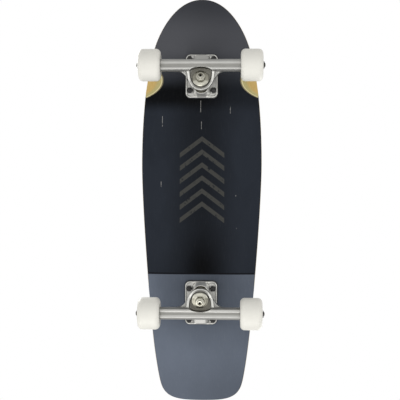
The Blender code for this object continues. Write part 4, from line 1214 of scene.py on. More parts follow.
def well_drum(end, side):
    """A drum that leans outwards and scoops the underside beside a wheel."""
    deck = settings().deck
    outboard = 1 if end == "front" else -1
    x = TRUCKS[end].translation.x + outboard * (AXLE.x - deck.well_inboard)
    start = Vector((x, side * deck.well_start, DECK_BOTTOM + mould(x, deck.well_start)))
    lean = Vector((0, side * math.cos(deck.well_slope), math.sin(deck.well_slope)))
    below = Vector((0, side * math.sin(deck.well_slope), -math.cos(deck.well_slope)))
    near, far = -deck.well_start / 4, deck.width / 2
    rings = 40
    profile = [(near, 0)]
    profile += [(near + (far - near) * step / rings, deck.well_radius) for step in range(rings + 1)]
    return turned("well", profile + [(far, 0)], start + below * deck.well_radius, lean,
                  segments=288)


def mark_ply_depth(obj):
    """Write how deep in the blank each point lies."""
    depths = []
    for vertex in obj.data.vertices:
        x, y, z = vertex.co
        depths.append((z - DECK_BOTTOM - mould(x, y)) * mould_normal(x, y).z)
    layer = obj.data.attributes.new("ply_depth", "FLOAT", "POINT")
    layer.data.foreach_set("value", depths)
    return depths


class LONGBOARD_OT_deck(bpy.types.Operator):
    """Press the deck, drill it, scoop its wheel wells and paint it"""

    bl_idname = "longboard.deck"
    bl_label = "Deck"

    def execute(self, context):
        deck, bolt = settings().deck, settings().bolt
        board = sheet("deck_pressed", deck_outline(),
                      rounded_rim(deck.thickness, deck.edge_round, 5, 6))
        board.data.materials.append(kept_finish(painted_maple))
        head, shank = bolt.head_radius + GAP, bolt.radius + GAP
        profile = [(-2 * deck.thickness, 0), (-2 * deck.thickness, shank),
                   (-bolt.head_height - GAP, shank), (0, head), (deck.thickness, head),
                   (deck.thickness, 0)]
        holes = [turned("hole", profile, centre, segments=32)
                 for centre in bolt_centres(DECK_BOTTOM + deck.thickness)]
        wells = {end: [well_drum(end, side) for side in (1, -1)] for end in ENDS}
        for cutters, finish in ((holes, bare_plies), (wells["front"], scooped_plies),
                                (wells["rear"], painted_maple)):
            tool = joined("cutters", cutters)
            tool.data.materials.append(kept_finish(finish))
            combine(board, tool)
        depths = mark_ply_depth(board)
        names = [material.name for material in board.data.materials]
        bare_index = names.index(kept_finish(bare_plies).name)
        for face in board.data.polygons:
            deep = [depths[i] for i in face.vertices]
            upright = abs(face.normal.z) < EDGE_UPRIGHT
            if upright and deck.paint_edge < sum(deep) / len(deep) < deck.thickness - GAP:
                face.material_index = bare_index
        finished(board)
        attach(board, "board")
        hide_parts("deck")
        return {"FINISHED"}


class LONGBOARD_OT_grip_tape(bpy.types.Operator):
    """Lay the grip tape on the deck, open over the bolt heads"""

    bl_idname = "longboard.grip_tape"
    bl_label = "Grip Tape"

    def execute(self, context):
        deck = settings().deck
        bottom = deck.thickness + GAP
        round_off = deck.grip_thickness / 3
        top = bottom + deck.grip_thickness
        outline = inset(deck_outline(), deck.grip_edge)
        grip = sheet("grip_tape_sheet", outline,
                     [(0, bottom), (0, top - round_off), (round_off, top)])
        holes = [rod(-deck.grip_thickness, 4 * deck.grip_thickness,
                     settings().bolt.head_radius + GAP, centre, segments=32)
                 for centre in bolt_centres(DECK_BOTTOM + deck.thickness)]
        combine(grip, joined("holes", holes))
        finished(grip, grip_paper)
        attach(grip, "board")
        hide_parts("grip_tape")
        return {"FINISHED"}


# Trucks, drawn in their own frame

OVERLAP = 0.001                 # by which bodies of one casting run into each other


def down_kingpin():
    lean = settings().truck.kingpin_lean
    return Vector((math.sin(lean), 0, -math.cos(lean)))


def across_kingpin():
    lean = settings().truck.kingpin_lean
    return Vector((math.cos(lean), 0, math.sin(lean)))


def on_pivot(along, over):
    """X and Z of a place in the truck's middle plane, along and over the pivot axis."""
    place = RING + ALONG_PIVOT * along + OVER_PIVOT * over
    return (place.x, place.z)


def bolt_hole_cutters():
    return joined("holes", [rod(0, 2 * MOUNTING_FACE, settings().bolt.radius + GAP,
                                Vector((place.x, place.y, 0)), segments=32) for place in BOLT_PLACES])


def plate_outline(overhang=0.0):
    """Outline of the plate, or of the pad that stands out round it."""
    truck = settings().truck
    middle = TO_TRUCK @ box_middle("front_baseplate")
    corners = rounded_rectangle(truck.plate_length + 2 * overhang, truck.plate_width + 2 * overhang,
                                truck.plate_corner + overhang)
    return [(x + middle.x, y) for x, y in corners]


def stack_places():
    """Places along the kingpin, counted from the middle of the ring to each side."""
    truck, pin = settings().truck, settings().kingpin
    seat = truck.ring_throat / 2 + GAP
    upper_washer = seat + pin.upper_bushing + GAP
    lower_washer = seat + pin.lower_bushing + GAP
    return {"seat": seat, "upper_washer": upper_washer, "lower_washer": lower_washer,
            "nut": lower_washer + pin.washer_thickness + GAP,
            "boss": upper_washer + pin.washer_thickness + GAP}


class LONGBOARD_OT_riser_pads(bpy.types.Operator):
    """Mould the rubber pads between the deck and the baseplates"""

    bl_idname = "longboard.riser_pads"
    bl_label = "Riser Pads"

    def execute(self, context):
        overhang = (extent("front_riser_pad").x - settings().truck.plate_length) / 2
        low, high = MOUNTING_FACE + GAP, DECK_BOTTOM - GAP
        soft = 0.0004
        pad = stepped_prism("riser_pad", plate_outline(overhang), (soft, low), (0, low + soft),
                            (0, high - soft), (soft, high))
        combine(pad, bolt_hole_cutters())
        finished(pad, pad_rubber)
        at_both_trucks(pad, "riser_rubber_pad", BOARD, "riser_rubber", "{end}_riser_pad")
        return {"FINISHED"}


def plate_body():
    """The flat plate, with a raised rim round its lower face."""
    truck = settings().truck
    face = MOUNTING_FACE - truck.plate_thickness
    soft = 0.0012
    return stepped_prism("plate", plate_outline(),
                         (truck.plate_rim + soft, face + truck.plate_rim_height),
                         (truck.plate_rim, face), (soft, face), (0, face + soft), (0, MOUNTING_FACE))


def kingpin_boss():
    """A boss that narrows from its foot on the plate to the seat of the upper washer."""
    truck = settings().truck
    seat_middle = RING - down_kingpin() * stack_places()["boss"]
    foot_z = MOUNTING_FACE - truck.plate_thickness / 2
    half_long, half_wide = truck.foot_length / 2, truck.foot_width / 2
    foot_x = min(x for x, y in plate_outline()) + OVERLAP + half_long
    corner = (half_long + truck.foot_face / 2) / math.sqrt(2)
    sides = ((0, half_long), (math.pi / 2, half_wide), (math.pi, half_long),
             (-math.pi / 2, half_wide), (3 * math.pi / 4, corner), (-3 * math.pi / 4, corner))
    foot, seat = [], []
    count = 96
    least_facing = 0.1
    for i in range(count):
        way = 2 * math.pi * (i + 0.5) / count
        reach = min(distance / math.cos(way - side) for side, distance in sides
                    if math.cos(way - side) > least_facing)
        foot.append((foot_x + reach * math.cos(way), reach * math.sin(way), foot_z))
        seat.append(seat_middle + truck.seat_radius * (across_kingpin() * math.cos(way)
                                                       + ACROSS * math.sin(way)))
    return new_object("boss", skin([foot, seat]))


def cup_places():
    """Radius and bottom of the pivot cup, and where the hanger's shoulder lies before it."""
    truck = settings().truck
    play = 0.0005
    return {"radius": truck.nub_radius + play + truck.cup_wall,
            "bottom": truck.pivot_reach + play + truck.cup_floor,
            "shoulder": truck.pivot_reach - truck.nub_length}


def pivot_housing():
    """The block round the pivot cup, with its long edges rounded."""
    truck, cup = settings().truck, cup_places()
    reach = cup["radius"] + GAP + truck.housing_wall
    near = cup["shoulder"] + truck.shoulder_gap
    far = cup["bottom"] + GAP + truck.housing_wall / 2
    foot_z = MOUNTING_FACE - truck.plate_thickness / 2
    outboard = max(x for x, y in plate_outline()) - OVERLAP
    upper = on_pivot(near, reach)
    outline = [on_pivot(near, -reach), on_pivot(far, -reach), (outboard, foot_z),
               (upper[0], foot_z), upper]
    shape = side_skin(outline, truck.housing_width / 2)
    low = [edge for edge in shape.edges
           if abs(edge.verts[0].co.y - edge.verts[1].co.y) < GAP
           and max(vertex.co.z for vertex in edge.verts) < foot_z + GAP
           and min(vertex.co.z for vertex in edge.verts) < upper[1] - GAP]
    bmesh.ops.bevel(shape, geom=low, offset=truck.housing_round, segments=8, profile=0.5,
                    affect="EDGES")
    return new_object("pivot_housing", shape)


def plate_polish(point):
    """Painted highlight: the rim is brighter than the sunk face, the kingpin boss and its flanks
    brighter still, the housing dull.
    """
    truck = settings().truck
    sunk, rim, housing, boss, flank = 0.25, 0.35, 0.09, 0.75, 0.6
    soft = 0.001
    face = MOUNTING_FACE - truck.plate_thickness
    rim_start = 0.6 * truck.plate_rim_height
    on_rim = clamped((face + rim_start - point.z) / (truck.plate_rim_height - rim_start))
    on_flank = clamped((abs(point.y) - truck.foot_face / 2) / soft)
    plate = sunk + rim * on_rim
    block = housing if point.x > AXLE.x else boss + flank * on_flank
    return plate + (block - plate) * clamped((face - point.z) / soft)


class LONGBOARD_OT_baseplates(bpy.types.Operator):
    """Cast the baseplates and bore them for kingpin, pivot cup and bolts"""

    bl_idname = "longboard.baseplates"
    bl_label = "Baseplates"

    def execute(self, context):
        pin, cup = settings().kingpin, cup_places()
        casting = joined("baseplate", [plate_body(), kingpin_boss(), pivot_housing()])
        cast_skin(casting, voxel=0.00045, rounds=5)
        combine(casting, prism("top", rounded_rectangle(1.0, 1.0, 0.1), MOUNTING_FACE,
                               2 * MOUNTING_FACE))
        reach = MOUNTING_FACE
        head_seat = stack_places()["boss"] + pin.head_seat
        bore, head_bore = pin.radius + GAP, pin.head_radius + GAP
        profile = [(-reach, 0), (-reach, bore), (head_seat, bore), (head_seat, head_bore),
                   (head_seat + reach, head_bore), (head_seat + reach, 0)]
        combine(casting, turned("bore", profile, RING, -down_kingpin()))
        combine(casting, rod(0, cup["bottom"] + GAP, cup["radius"] + GAP, RING, ALONG_PIVOT))
        combine(casting, bolt_hole_cutters())
        # Painted highlight on the plate's rim, its kingpin boss and the boss's flanks.
        mark(casting, "polished", plate_polish)
        finished(casting, cast_aluminium)
        at_both_trucks(casting, "baseplate_casting", BOARD, "cast_aluminium", "{end}_baseplate")
        return {"FINISHED"}


def slanted(degrees):
    return Vector((math.cos(math.radians(degrees)), math.sin(math.radians(degrees))))


def yoke_outline(flare_width):
    """Seen from below: a horseshoe round the kingpin that flares into the beam."""
    truck = settings().truck
    tip = Vector((RING.x - truck.yoke_reach, 0))
    side = Vector((RING.x, truck.yoke_width / 2))
    flare = Vector((AXLE.x - truck.beam_width / 2 + OVERLAP, flare_width / 2))
    tip_handle, side_handle, waist_handle, flare_share = 0.012, 0.007, 0.009, 0.36
    flare_handle = (flare_width - truck.yoke_width) * flare_share
    way = slanted(27)
    half = bezier(tip, Vector((0, tip_handle)), -way * side_handle, side, 20)
    half += bezier(side, way * waist_handle, Vector((0, -flare_handle)), flare, 20)
    return mirrored_outline(half + [flare], -1)


def yoke_layer(flare_width, sunk):
    """The yoke under a plan outline, its road face sunk by a depth along the kingpin."""
    truck = settings().truck
    down, across = down_kingpin(), across_kingpin()
    lower = RING + down * (truck.ring_half_height - sunk)
    upper = RING - down * truck.ring_half_height
    upper_outboard = upper + across * truck.ring_end
    inboard_low = lower - across * 2 * truck.ring_end
    inboard_high = upper - across * 2 * truck.ring_end
    side = [(inboard_low.x, inboard_low.z), (lower.x, lower.z),
            (AXLE.x, AXLE.z - truck.beam_below / 2 + sunk), (AXLE.x, AXLE.z + truck.beam_above),
            (upper_outboard.x, upper_outboard.z), (inboard_high.x, inboard_high.z)]
    body = prism("yoke", yoke_outline(flare_width), 0, 2 * AXLE.z)
    combine(body, side_prism("side", side, flare_width), "INTERSECT")
    return body


def bowl_outline():
    """Plan of the hollow round the kingpin: a horseshoe that ends in an arch in the beam."""
    truck = settings().truck
    tip = Vector((RING.x - truck.bowl_inboard, 0))
    side_along, side_out, wide_along = 0.42, 0.44, 0.80
    side = tip + Vector((truck.bowl_length * side_along, truck.bowl_width * side_out))
    wide = tip + Vector((truck.bowl_length * wide_along, truck.bowl_width / 2))
    arch = tip + Vector((truck.bowl_length, 0))
    tip_handle, side_handle, wide_handle, arch_handle = 0.0100, 0.0060, 0.0040, 0.0080
    way = slanted(20)
    half = bezier(tip, Vector((0, tip_handle)), -way * side_handle, side, 16)
    half += bezier(side, way * wide_handle, Vector((-wide_handle, 0)), wide, 10)
    half += bezier(wide, Vector((wide_handle, 0)), Vector((0, arch_handle)), arch, 16)
    return mirrored_outline(half + [arch], -1)


def bowl_cutter():
    """The hollow in the yoke, open to the road, that runs a little into the beam."""
    truck = settings().truck
    drum = prism("bowl", bowl_outline(), 0, 2 * AXLE.z)
    floor = RING + down_kingpin() * truck.ring_throat / 2
    inboard = floor - across_kingpin() * 3 * truck.ring_end
    below = [(inboard.x, inboard.z), (floor.x, floor.z), (AXLE.x, floor.z),
             (AXLE.x, -truck.ring_end), (inboard.x, -truck.ring_end)]
    combine(drum, side_prism("below", below, truck.yoke_width), "INTERSECT")
    return drum


def bowl_shelter(point):
    """How far inside the hollow round the kingpin a point of the hanger lies: painted shade, stronger
    towards the outboard side.
    """
    truck = settings().truck
    middle = RING.x - truck.bowl_inboard + truck.bowl_length / 2
    soft, rounding, at_ring = 0.0004, 0.2, 0.3
    along = abs(point.x - middle) / (truck.bowl_length / 2 + soft)
    aside = abs(point.y) / (truck.bowl_width / 2 + soft)
    return min((1 - along**3 - aside**3) / rounding,
               (RING.z + truck.ring_throat / 2 - point.z) / soft,
               at_ring + (point.x - RING.x) / truck.ring_end)


def over_ridges(point):
    """How far a point of the beam lies from the groove's middle, and its height in groove depths."""
    truck = settings().truck
    height = (point.z - AXLE.z + truck.beam_below) / truck.groove_depth
    return abs(point.x - AXLE.x + truck.ridges_inboard), height


def groove_shelter(point):
    """Painted shade in the groove between the ridges."""
    truck, most, top = settings().truck, 0.3, 1.5
    across, height = over_ridges(point)
    half = (truck.ridge_spacing - truck.ridge_width) / 2
    return min(most, top - height, 1 - across / half)


def ridge_polish(point):
    """Painted highlight on the crowns of the ridges."""
    truck, most, top, reach = settings().truck, 0.17, 1.0, 1.3
    across, height = over_ridges(point)
    from_ridge = abs(across - truck.ridge_spacing / 2)
    return min(most, top - height, reach - from_ridge / (truck.ridge_width / 2))


def yoke_polish(point):
    """Painted highlight on the yoke's rim where it faces the road."""
    truck, most, soft = settings().truck, 0.50, 0.001
    low = RING + down_kingpin() * truck.ring_half_height
    outboard = point.x - low.x
    slope = math.tan(truck.kingpin_lean)
    if outboard > 0:
        slope = (AXLE.z - truck.beam_below / 2 - low.z) / (AXLE.x - low.x)
    face = low.z + outboard * slope
    return min(most, (face - point.z) / (truck.rim_height / 4) + 2,
               (AXLE.x - truck.beam_width / 2 - point.x) / soft)


def beam_body():
    """The bar round the axle: two crowned ridges and a groove face the road."""
    truck = settings().truck
    low, high = AXLE.z - truck.beam_below, AXLE.z + truck.beam_above
    land, groove, foot = truck.ridge_width / 2, low + truck.groove_depth, 0.0008
    # Share of the half width across a ridge, and of the groove's depth below its crown
    crown = ((-1.0, 0.30), (-0.72, 0.06), (0.0, 0.0), (0.68, 0.06), (0.92, 0.30))
    ridges = [[(side * truck.ridge_spacing / 2 - truck.ridges_inboard + land * across,
                low + truck.groove_depth * rise) for across, rise in crown] for side in (-1, 1)]
    outer = truck.ridge_spacing / 2 - truck.ridges_inboard - land
    outline = ridges[0] + [(ridges[0][-1][0] + foot, groove), (outer - foot, groove)] + ridges[1]
    outboard = truck.beam_width / 2 - truck.beam_inboard
    inboard = -truck.beam_width / 2 - truck.beam_inboard
    top = high - truck.beam_round
    outline += [(outboard, low + truck.beam_slope)]
    outline += arc((outboard - truck.beam_round, top), truck.beam_round, 0, 90, 6)
    outline += arc((inboard + truck.beam_round, top), truck.beam_round, 90, 180, 6)
    outline += [(inboard, low + truck.beam_slope)]
    return side_prism("beam", [(AXLE.x + x, z) for x, z in outline],
                      truck.hanger_length / 2 - truck.beam_end_length)


def spine_body():
    """The web from the ring over the beam to the shoulder of the pivot nub."""
    truck, shoulder = settings().truck, cup_places()["shoulder"]
    half = truck.spine_depth / 2
    beam_top = AXLE.z + truck.beam_above / 2
    outline = [(RING.x + truck.spine_start, RING.z), on_pivot(shoulder, half),
               on_pivot(shoulder, -half), (AXLE.x + truck.spine_foot, beam_top),
               (AXLE.x - truck.spine_foot, beam_top)]
    return side_prism("spine", outline, truck.spine_width / 2)


def nub_body():
    truck, shoulder = settings().truck, cup_places()["shoulder"]
    radius = truck.nub_radius
    profile = [(shoulder - radius, 0), (shoulder - radius, radius)]
    profile += arc((truck.pivot_reach - radius, 0), radius, 90, 0, 12)
    return turned("nub", profile, RING, ALONG_PIVOT)


class LONGBOARD_OT_hangers(bpy.types.Operator):
    """Cast the hangers, then machine their bushing seats and the axle's bore"""

    bl_idname = "longboard.hangers"
    bl_label = "Hangers"

    def execute(self, context):
        truck, pin = settings().truck, settings().kingpin
        half_length, far = truck.hanger_length / 2, 2 * truck.hanger_length
        casting = joined("hanger", [
            yoke_layer(truck.web_flare, truck.rim_height), yoke_layer(truck.rim_flare, 0),
            beam_body(), spine_body(), nub_body(),
            rod(-half_length - GAP, half_length + GAP, truck.beam_end_radius, AXLE, ACROSS)])
        cast_skin(casting, voxel=0.0005, rounds=1)
        combine(casting, bowl_cutter())
        cast_skin(casting, voxel=0.0005, rounds=7)
        for side in (1, -1):
            combine(casting, rod(half_length, far, 2 * truck.beam_width, AXLE, ACROSS * side))
        down = down_kingpin()
        seat, bore = truck.ring_throat / 2, pin.bushing_radius + truck.seat_play
        for axis, height in ((-down, pin.upper_bushing), (down, pin.lower_bushing)):
            combine(casting, rod(seat, seat + 2 * height, bore, RING, axis))
        combine(casting, rod(-truck.ring_end, truck.ring_end, truck.ring_bore, RING, down))
        combine(casting, rod(-far, far, settings().wheel.bearing_bore, AXLE, ACROSS))
        # Painted shade in the hollow round the kingpin and in the groove between the ridges.
        mark(casting, "sheltered", lambda point: max(bowl_shelter(point), groove_shelter(point)))
        # Painted highlight on the ridges' crowns and on the yoke's rim.
        mark(casting, "polished", lambda point: max(ridge_polish(point), yoke_polish(point)))
        finished(casting, cast_aluminium)
        at_both_trucks(casting, "hanger_casting", HANGER_BODY, "cast_aluminium", "{end}_hanger")
        return {"FINISHED"}


def hexagon_nut(name, flats, bore, height, collar_height, collar_radius, finish, flange=None):
    """A chamfered hexagon with a round collar on top, drawn upwards from the origin."""
    corner = flats / math.sqrt(3)
    rounding = (corner - flats / 2) * 1.1       # reaches a little past the middle of each flat
    drop = rounding * math.tan(math.radians(30))
    sixth = math.pi / 3
    nut = prism(name, [(corner * math.cos(sixth * i), corner * math.sin(sixth * i))
                       for i in range(6)], 0, height)
    chamfer = [(0, 0), (0, corner - rounding), (drop, corner), (height - drop, corner),
               (height, corner - rounding), (height, 0)]
    combine(nut, turned("chamfer", chamfer), "INTERSECT")
    round_off, top = collar_height / 2, height + collar_height
    collar = [(height / 2, 0), (height / 2, collar_radius), (top - round_off, collar_radius),
              (top - round_off / 3, collar_radius - round_off / 3), (top, collar_radius - round_off),
              (top, 0)]
    combine(nut, turned("collar", collar), "UNION")
    if flange:
        thickness, radius = flange
        combine(nut, rod(-thickness, height / 4, radius), "UNION")
    combine(nut, rod(-height, height + top, bore))
    return finished(nut, finish, 28.0)


class LONGBOARD_OT_kingpins(bpy.types.Operator):
    """Turn the kingpins with their threads and centre holes, and forge their nuts"""

    bl_idname = "longboard.kingpins"
    bl_label = "Kingpins"

    def execute(self, context):
        pin, places = settings().kingpin, stack_places()
        down = down_kingpin()
        end = places["nut"] + pin.nut_height + pin.tip
        hole = end - pin.hole_depth
        head = -places["boss"] - pin.head_seat - GAP
        head_end = head - pin.head_height
        soft = 0.0006
        profile = [(hole - pin.hole_radius / 2, 0), (hole, pin.hole_radius),
                   (end - soft / 2, pin.hole_radius), (end, pin.hole_radius + soft / 2),
                   (end, pin.radius - soft)]
        profile += thread(end - soft, places["nut"] + pin.nut_height / 2, pin.radius,
                          pin.thread_pitch)
        profile += [(places["nut"], pin.radius), (head, pin.radius), (head, pin.head_radius - soft),
                    (head - soft, pin.head_radius), (head_end + soft, pin.head_radius),
                    (head_end, pin.head_radius - soft), (head_end, 0)]
        kingpin = finished(turned("kingpin", profile, RING, down, zinc_plating))
        # Painted shade on the kingpin's outboard side.
        half_shaded = 0.6
        mark(kingpin, "sheltered",
             lambda point: half_shaded + (point - RING).dot(across_kingpin()) / pin.radius)

        # Painted shade: the centre hole of the plated pin is lined with black steel.
        def in_hole(middle):
            along = (middle - RING).dot(down)
            aside = (middle - RING - down * along).length
            return along > hole - pin.hole_radius and aside < pin.hole_radius + soft

        refinish(kingpin, black_steel, in_hole)
        at_both_trucks(kingpin, "kingpin_bolt", BOARD, "zinc_steel", "{end}_kingpin")
        collar = pin.nut_height / 4
        hexagon = pin.nut_height - collar
        nut = hexagon_nut("kingpin_nut", pin.nut_flats, pin.radius + GAP, hexagon, collar,
                          pin.nut_flats / 2 - GAP, zinc_plating)
        # Painted shade on the nut's hexagon; its collar stays clean.
        mark(nut, "sheltered", lambda point: (hexagon - point.z) / soft)
        nut.data.transform(aimed(RING + down * places["nut"], down))
        at_both_trucks(nut, "kingpin_lock_nut", BOARD, "zinc_steel", "{end}_kingpin_nut")
        return {"FINISHED"}


class LONGBOARD_OT_cup_washers(bpy.types.Operator):
    """Press the cup washers that hold the ends of the bushings"""

    bl_idname = "longboard.cup_washers"
    bl_label = "Cup Washers"

    def execute(self, context):
        pin = settings().kingpin
        places = stack_places()
        shade_start, shade_length = 0.0055, 0.002
        for name, held, outer, axis, least, most in (
                ("upper", pin.bushing_radius, pin.upper_washer, -down_kingpin(), 0.95, 1.0),
                ("lower", pin.bushing_end, pin.washer_radius, down_kingpin(), 0.0, 0.6)):
            flat = places[f"{name}_washer"]
            bore, inner = pin.radius + GAP, held + GAP
            wall = outer - inner
            back = flat + pin.washer_thickness
            lip = flat - pin.washer_lip
            soft = wall / 4
            profile = [(flat, bore), (flat, inner), (lip + soft, inner + wall / 2),
                       (lip, inner + wall / 2 + soft), (lip, outer - soft), (lip + soft, outer),
                       (flat, outer), (flat + pin.washer_thickness / 2, outer - wall / 5),
                       (back - soft / 2, outer - wall * 0.8), (back, outer - wall * 1.1),
                       (back, bore + soft), (back - soft, bore)]
            washer = turned("washer", profile, RING, axis, zinc_plating, bored=True)
            # Painted shade: the upper washer all over, the lower one all but its inboard edge.
            mark(washer, "sheltered", lambda point: clamped(
                ((point - RING).dot(across_kingpin()) + shade_start) / shade_length, least, most))
            at_both_trucks(finished(washer), f"{name}_cup_washer", BOARD, "zinc_steel",
                           "{end}_" + name + "_washer")
        return {"FINISHED"}


class LONGBOARD_OT_bushings(bpy.types.Operator):
    """Mould the bushings round the kingpins"""

    bl_idname = "longboard.bushings"
    bl_label = "Bushings"

    def execute(self, context):
        truck, pin = settings().truck, settings().kingpin
        start = stack_places()["seat"]
        bore, soft, steps = pin.radius + GAP, 0.0007, 10
        shares = [step / steps for step in range(1, steps)]
        for name, height, end_radius, axis in (
                ("upper", pin.upper_bushing, pin.bushing_radius, -down_kingpin()),
                ("lower", pin.lower_bushing, pin.bushing_end, down_kingpin())):
            end = start + height
            waist = (pin.bushing_radius + end_radius) / 2 - soft / 2
            profile = [(start, bore + pin.play), (start, pin.bushing_radius - soft),
                       (start + soft, pin.bushing_radius)]
            profile += [(start + height * share, waist + soft * abs(share - 0.5))
                        for share in shares]
            profile += [(end - soft, end_radius), (end, end_radius - soft), (end, bore)]
            profile += [(start + height * share, bore + pin.play) for share in reversed(shares)]
            bushing = turned("bushing", profile, RING, axis, bushing_urethane, bored=True)
            rim = RING + axis * truck.ring_half_height
            lip = RING + axis * (end - pin.washer_lip)
            at_both_trucks(finished(bushing), f"{name}_urethane_bushing", HANGER_BODY,
                           "bushing_urethane", "{end}_" + name + "_bushing", bend=(rim, lip))
        return {"FINISHED"}


# Axles and wheels

def axle_places():
    """Places along the axle, counted from the middle of the truck."""
    truck, wheel = settings().truck, settings().wheel
    washer = truck.hanger_length / 2 + GAP
    step = wheel.bearing_spacing / 2 + GAP
    middle = washer + wheel.speed_washer + GAP + wheel.bearing_width + step
    nut = middle + step + wheel.bearing_width + GAP
    return {"washer": washer, "step": step, "middle": middle, "nut": nut,
            "tip": nut + wheel.speed_washer + wheel.nut_height + wheel.axle_end}


def mirrored_profile(outer):
    return [(-place, radius) for place, radius in reversed(outer)] + outer


def at_every_wheel(pattern, copies, body, slot, turned_outboard=False):
    """Set copies of a wheel piece down beside all four wheels.

    A copy is given as its name, its place along the axle and the node that it stands for."""
    for end in ENDS:
        for side in SIDES:
            wheel = f"{end}_{side}"
            outboard = ACROSS * (1 if wheel in ("front_left", "rear_right") else -1)
            for name, along, node in copies:
                place = AXLE + outboard * along
                matrix = aimed(place, outboard) if turned_outboard else Matrix.Translation(place)
                place_copy(pattern, f"{wheel}_{name}", TRUCKS[end] @ matrix,
                           body.format(end=end, wheel=wheel), slot, f"{wheel}_{node}")
    discard(pattern)


class LONGBOARD_OT_axles(bpy.types.Operator):
    """Turn the axles with their threaded ends and inner speed washers"""

    bl_idname = "longboard.axles"
    bl_label = "Axles"

    def execute(self, context):
        wheel, places = settings().wheel, axle_places()
        radius = wheel.bearing_bore - GAP
        washer_out = places["washer"] + wheel.speed_washer
        soft = 0.0007
        half = [(places["washer"], radius), (places["washer"], wheel.speed_washer_radius),
                (washer_out, wheel.speed_washer_radius), (washer_out, radius)]
        half += thread(places["nut"] + wheel.speed_washer, places["tip"] - soft, radius,
                       settings().kingpin.thread_pitch)
        half += [(places["tip"], radius - 2 * soft), (places["tip"], 0)]
        axle = finished(turned("axle", mirrored_profile(half), AXLE, ACROSS, bright_steel))
        # Painted shade on the axle's ends past the nut seats.
        mark(axle, "sheltered", lambda point: (abs(point.y) - places["nut"]) / soft)
        at_both_trucks(axle, "steel_axle", HANGER_BODY, "zinc_steel", "{end}_axle")
        return {"FINISHED"}


class LONGBOARD_OT_axle_nuts(bpy.types.Operator):
    """Forge the axle nuts with their outer speed washers"""

    bl_idname = "longboard.axle_nuts"
    bl_label = "Axle Nuts"

    def execute(self, context):
        wheel = settings().wheel
        collar = wheel.nut_height / 4
        nut = hexagon_nut("axle_nut", wheel.nut_flats, wheel.bearing_bore, wheel.nut_height - collar,
                          collar, wheel.nut_flats / 2 - GAP, black_steel,
                          (wheel.speed_washer, wheel.speed_washer_radius))
        seat = axle_places()["nut"] + wheel.speed_washer
        at_every_wheel(nut, [("axle_lock_nut", seat, "axle_nut")], HANGER_BODY, "black_steel",
                       turned_outboard=True)
        return {"FINISHED"}


class LONGBOARD_OT_bolts(bpy.types.Operator):
    """Set the mounting bolts and their lock nuts in the pattern of each truck"""

    bl_idname = "longboard.bolts"
    bl_label = "Bolts"

    def execute(self, context):
        bolt, truck = settings().bolt, settings().truck
        head_top = DECK_BOTTOM + settings().deck.thickness
        nut_seat = MOUNTING_FACE - truck.plate_thickness + truck.plate_rim_height - GAP
        tip = nut_seat + GAP - truck.plate_rim_height - bolt.nut_height - bolt.collar_height - bolt.end
        soft = 0.0003
        profile = [(tip, 0), (tip, bolt.radius - 2 * soft)]
        profile += thread(tip + soft, nut_seat, bolt.radius, bolt.thread_pitch)
        profile += [(head_top - bolt.head_height, bolt.radius),
                    (head_top - soft, bolt.head_radius), (head_top, bolt.head_radius - soft),
                    (head_top, 0)]
        one_bolt = turned("bolt", profile, finish=black_steel, segments=32)
        long, wide = bolt.slot_length / 2, bolt.slot_width / 2
        for x, y in ((long, wide), (wide, long)):
            combine(one_bolt, prism("slot", [(-x, -y), (x, -y), (x, y), (-x, y)],
                                    head_top - bolt.slot_depth, head_top + 1))
        finished(one_bolt, black_steel)
        one_nut = hexagon_nut("lock_nut", bolt.nut_flats, bolt.radius + GAP, bolt.nut_height,
                              bolt.collar_height, bolt.collar_radius, black_steel)
        one_nut.data.transform(aimed(Vector((0, 0, nut_seat)), -UP))
        one_nut.data.transform(Matrix.Rotation(math.pi / 6, 4, "Z"))
        for pattern, name, nodes in ((one_bolt, "mounting_bolts", "{end}_bolt_"),
                                     (one_nut, "mounting_lock_nuts", "{end}_lock_nut_")):
            places = bpy.data.meshes.new(name)
            places.from_pydata([(place.x, place.y, 0) for place in BOLT_PLACES], [], [])
            four = link_mesh(name, places)
            grow(four, bolt_pattern, Pattern=pattern, Finish=kept_finish(black_steel))
            discard(pattern)
            at_both_trucks(finished(four), name, BOARD, "black_steel",
                           *(nodes + str(number) for number in BOLT_NUMBERS))
        return {"FINISHED"}


class LONGBOARD_OT_wheels(bpy.types.Operator):
    """Pour the urethane wheels, with round lips and bearing seats"""

    bl_idname = "longboard.wheels"
    bl_label = "Wheels"

    def execute(self, context):
        wheel, places = settings().wheel, axle_places()
        step, half = places["step"], wheel.width / 2
        seat = wheel.bearing_radius + GAP
        mouth = step + wheel.bearing_width
        face = wheel.radius - wheel.lip
        soft, throat_step, shelf = 0.0006, 0.0004, 0.0017
        outer = [(half / 3, wheel.radius)]
        outer += list(reversed(arc((half - wheel.lip, face), wheel.lip, 0, 90, 12)))
        outer += [(half - wheel.dish * 0.3, face * 0.92 + wheel.throat * 0.08),
                  (half - wheel.dish, (face + wheel.throat) / 2),
                  (half - wheel.dish * 1.2, wheel.throat + 2 * soft),
                  (half - wheel.dish * 1.9, wheel.throat),
                  (mouth + wheel.dish, wheel.throat - throat_step),
                  (mouth + wheel.dish * 0.4, wheel.throat - 2 * soft), (mouth, seat + soft),
                  (mouth - soft, seat), (step - GAP, seat), (step - GAP, seat - shelf)]
        body = finished(turned("wheel", mirrored_profile(outer), axis=ACROSS, finish=wheel_urethane,
                               bored=True, segments=128))
        at_every_wheel(body, [("urethane_wheel", places["middle"], "wheel")], WHEEL_BODY,
                       "wheel_urethane")
        return {"FINISHED"}


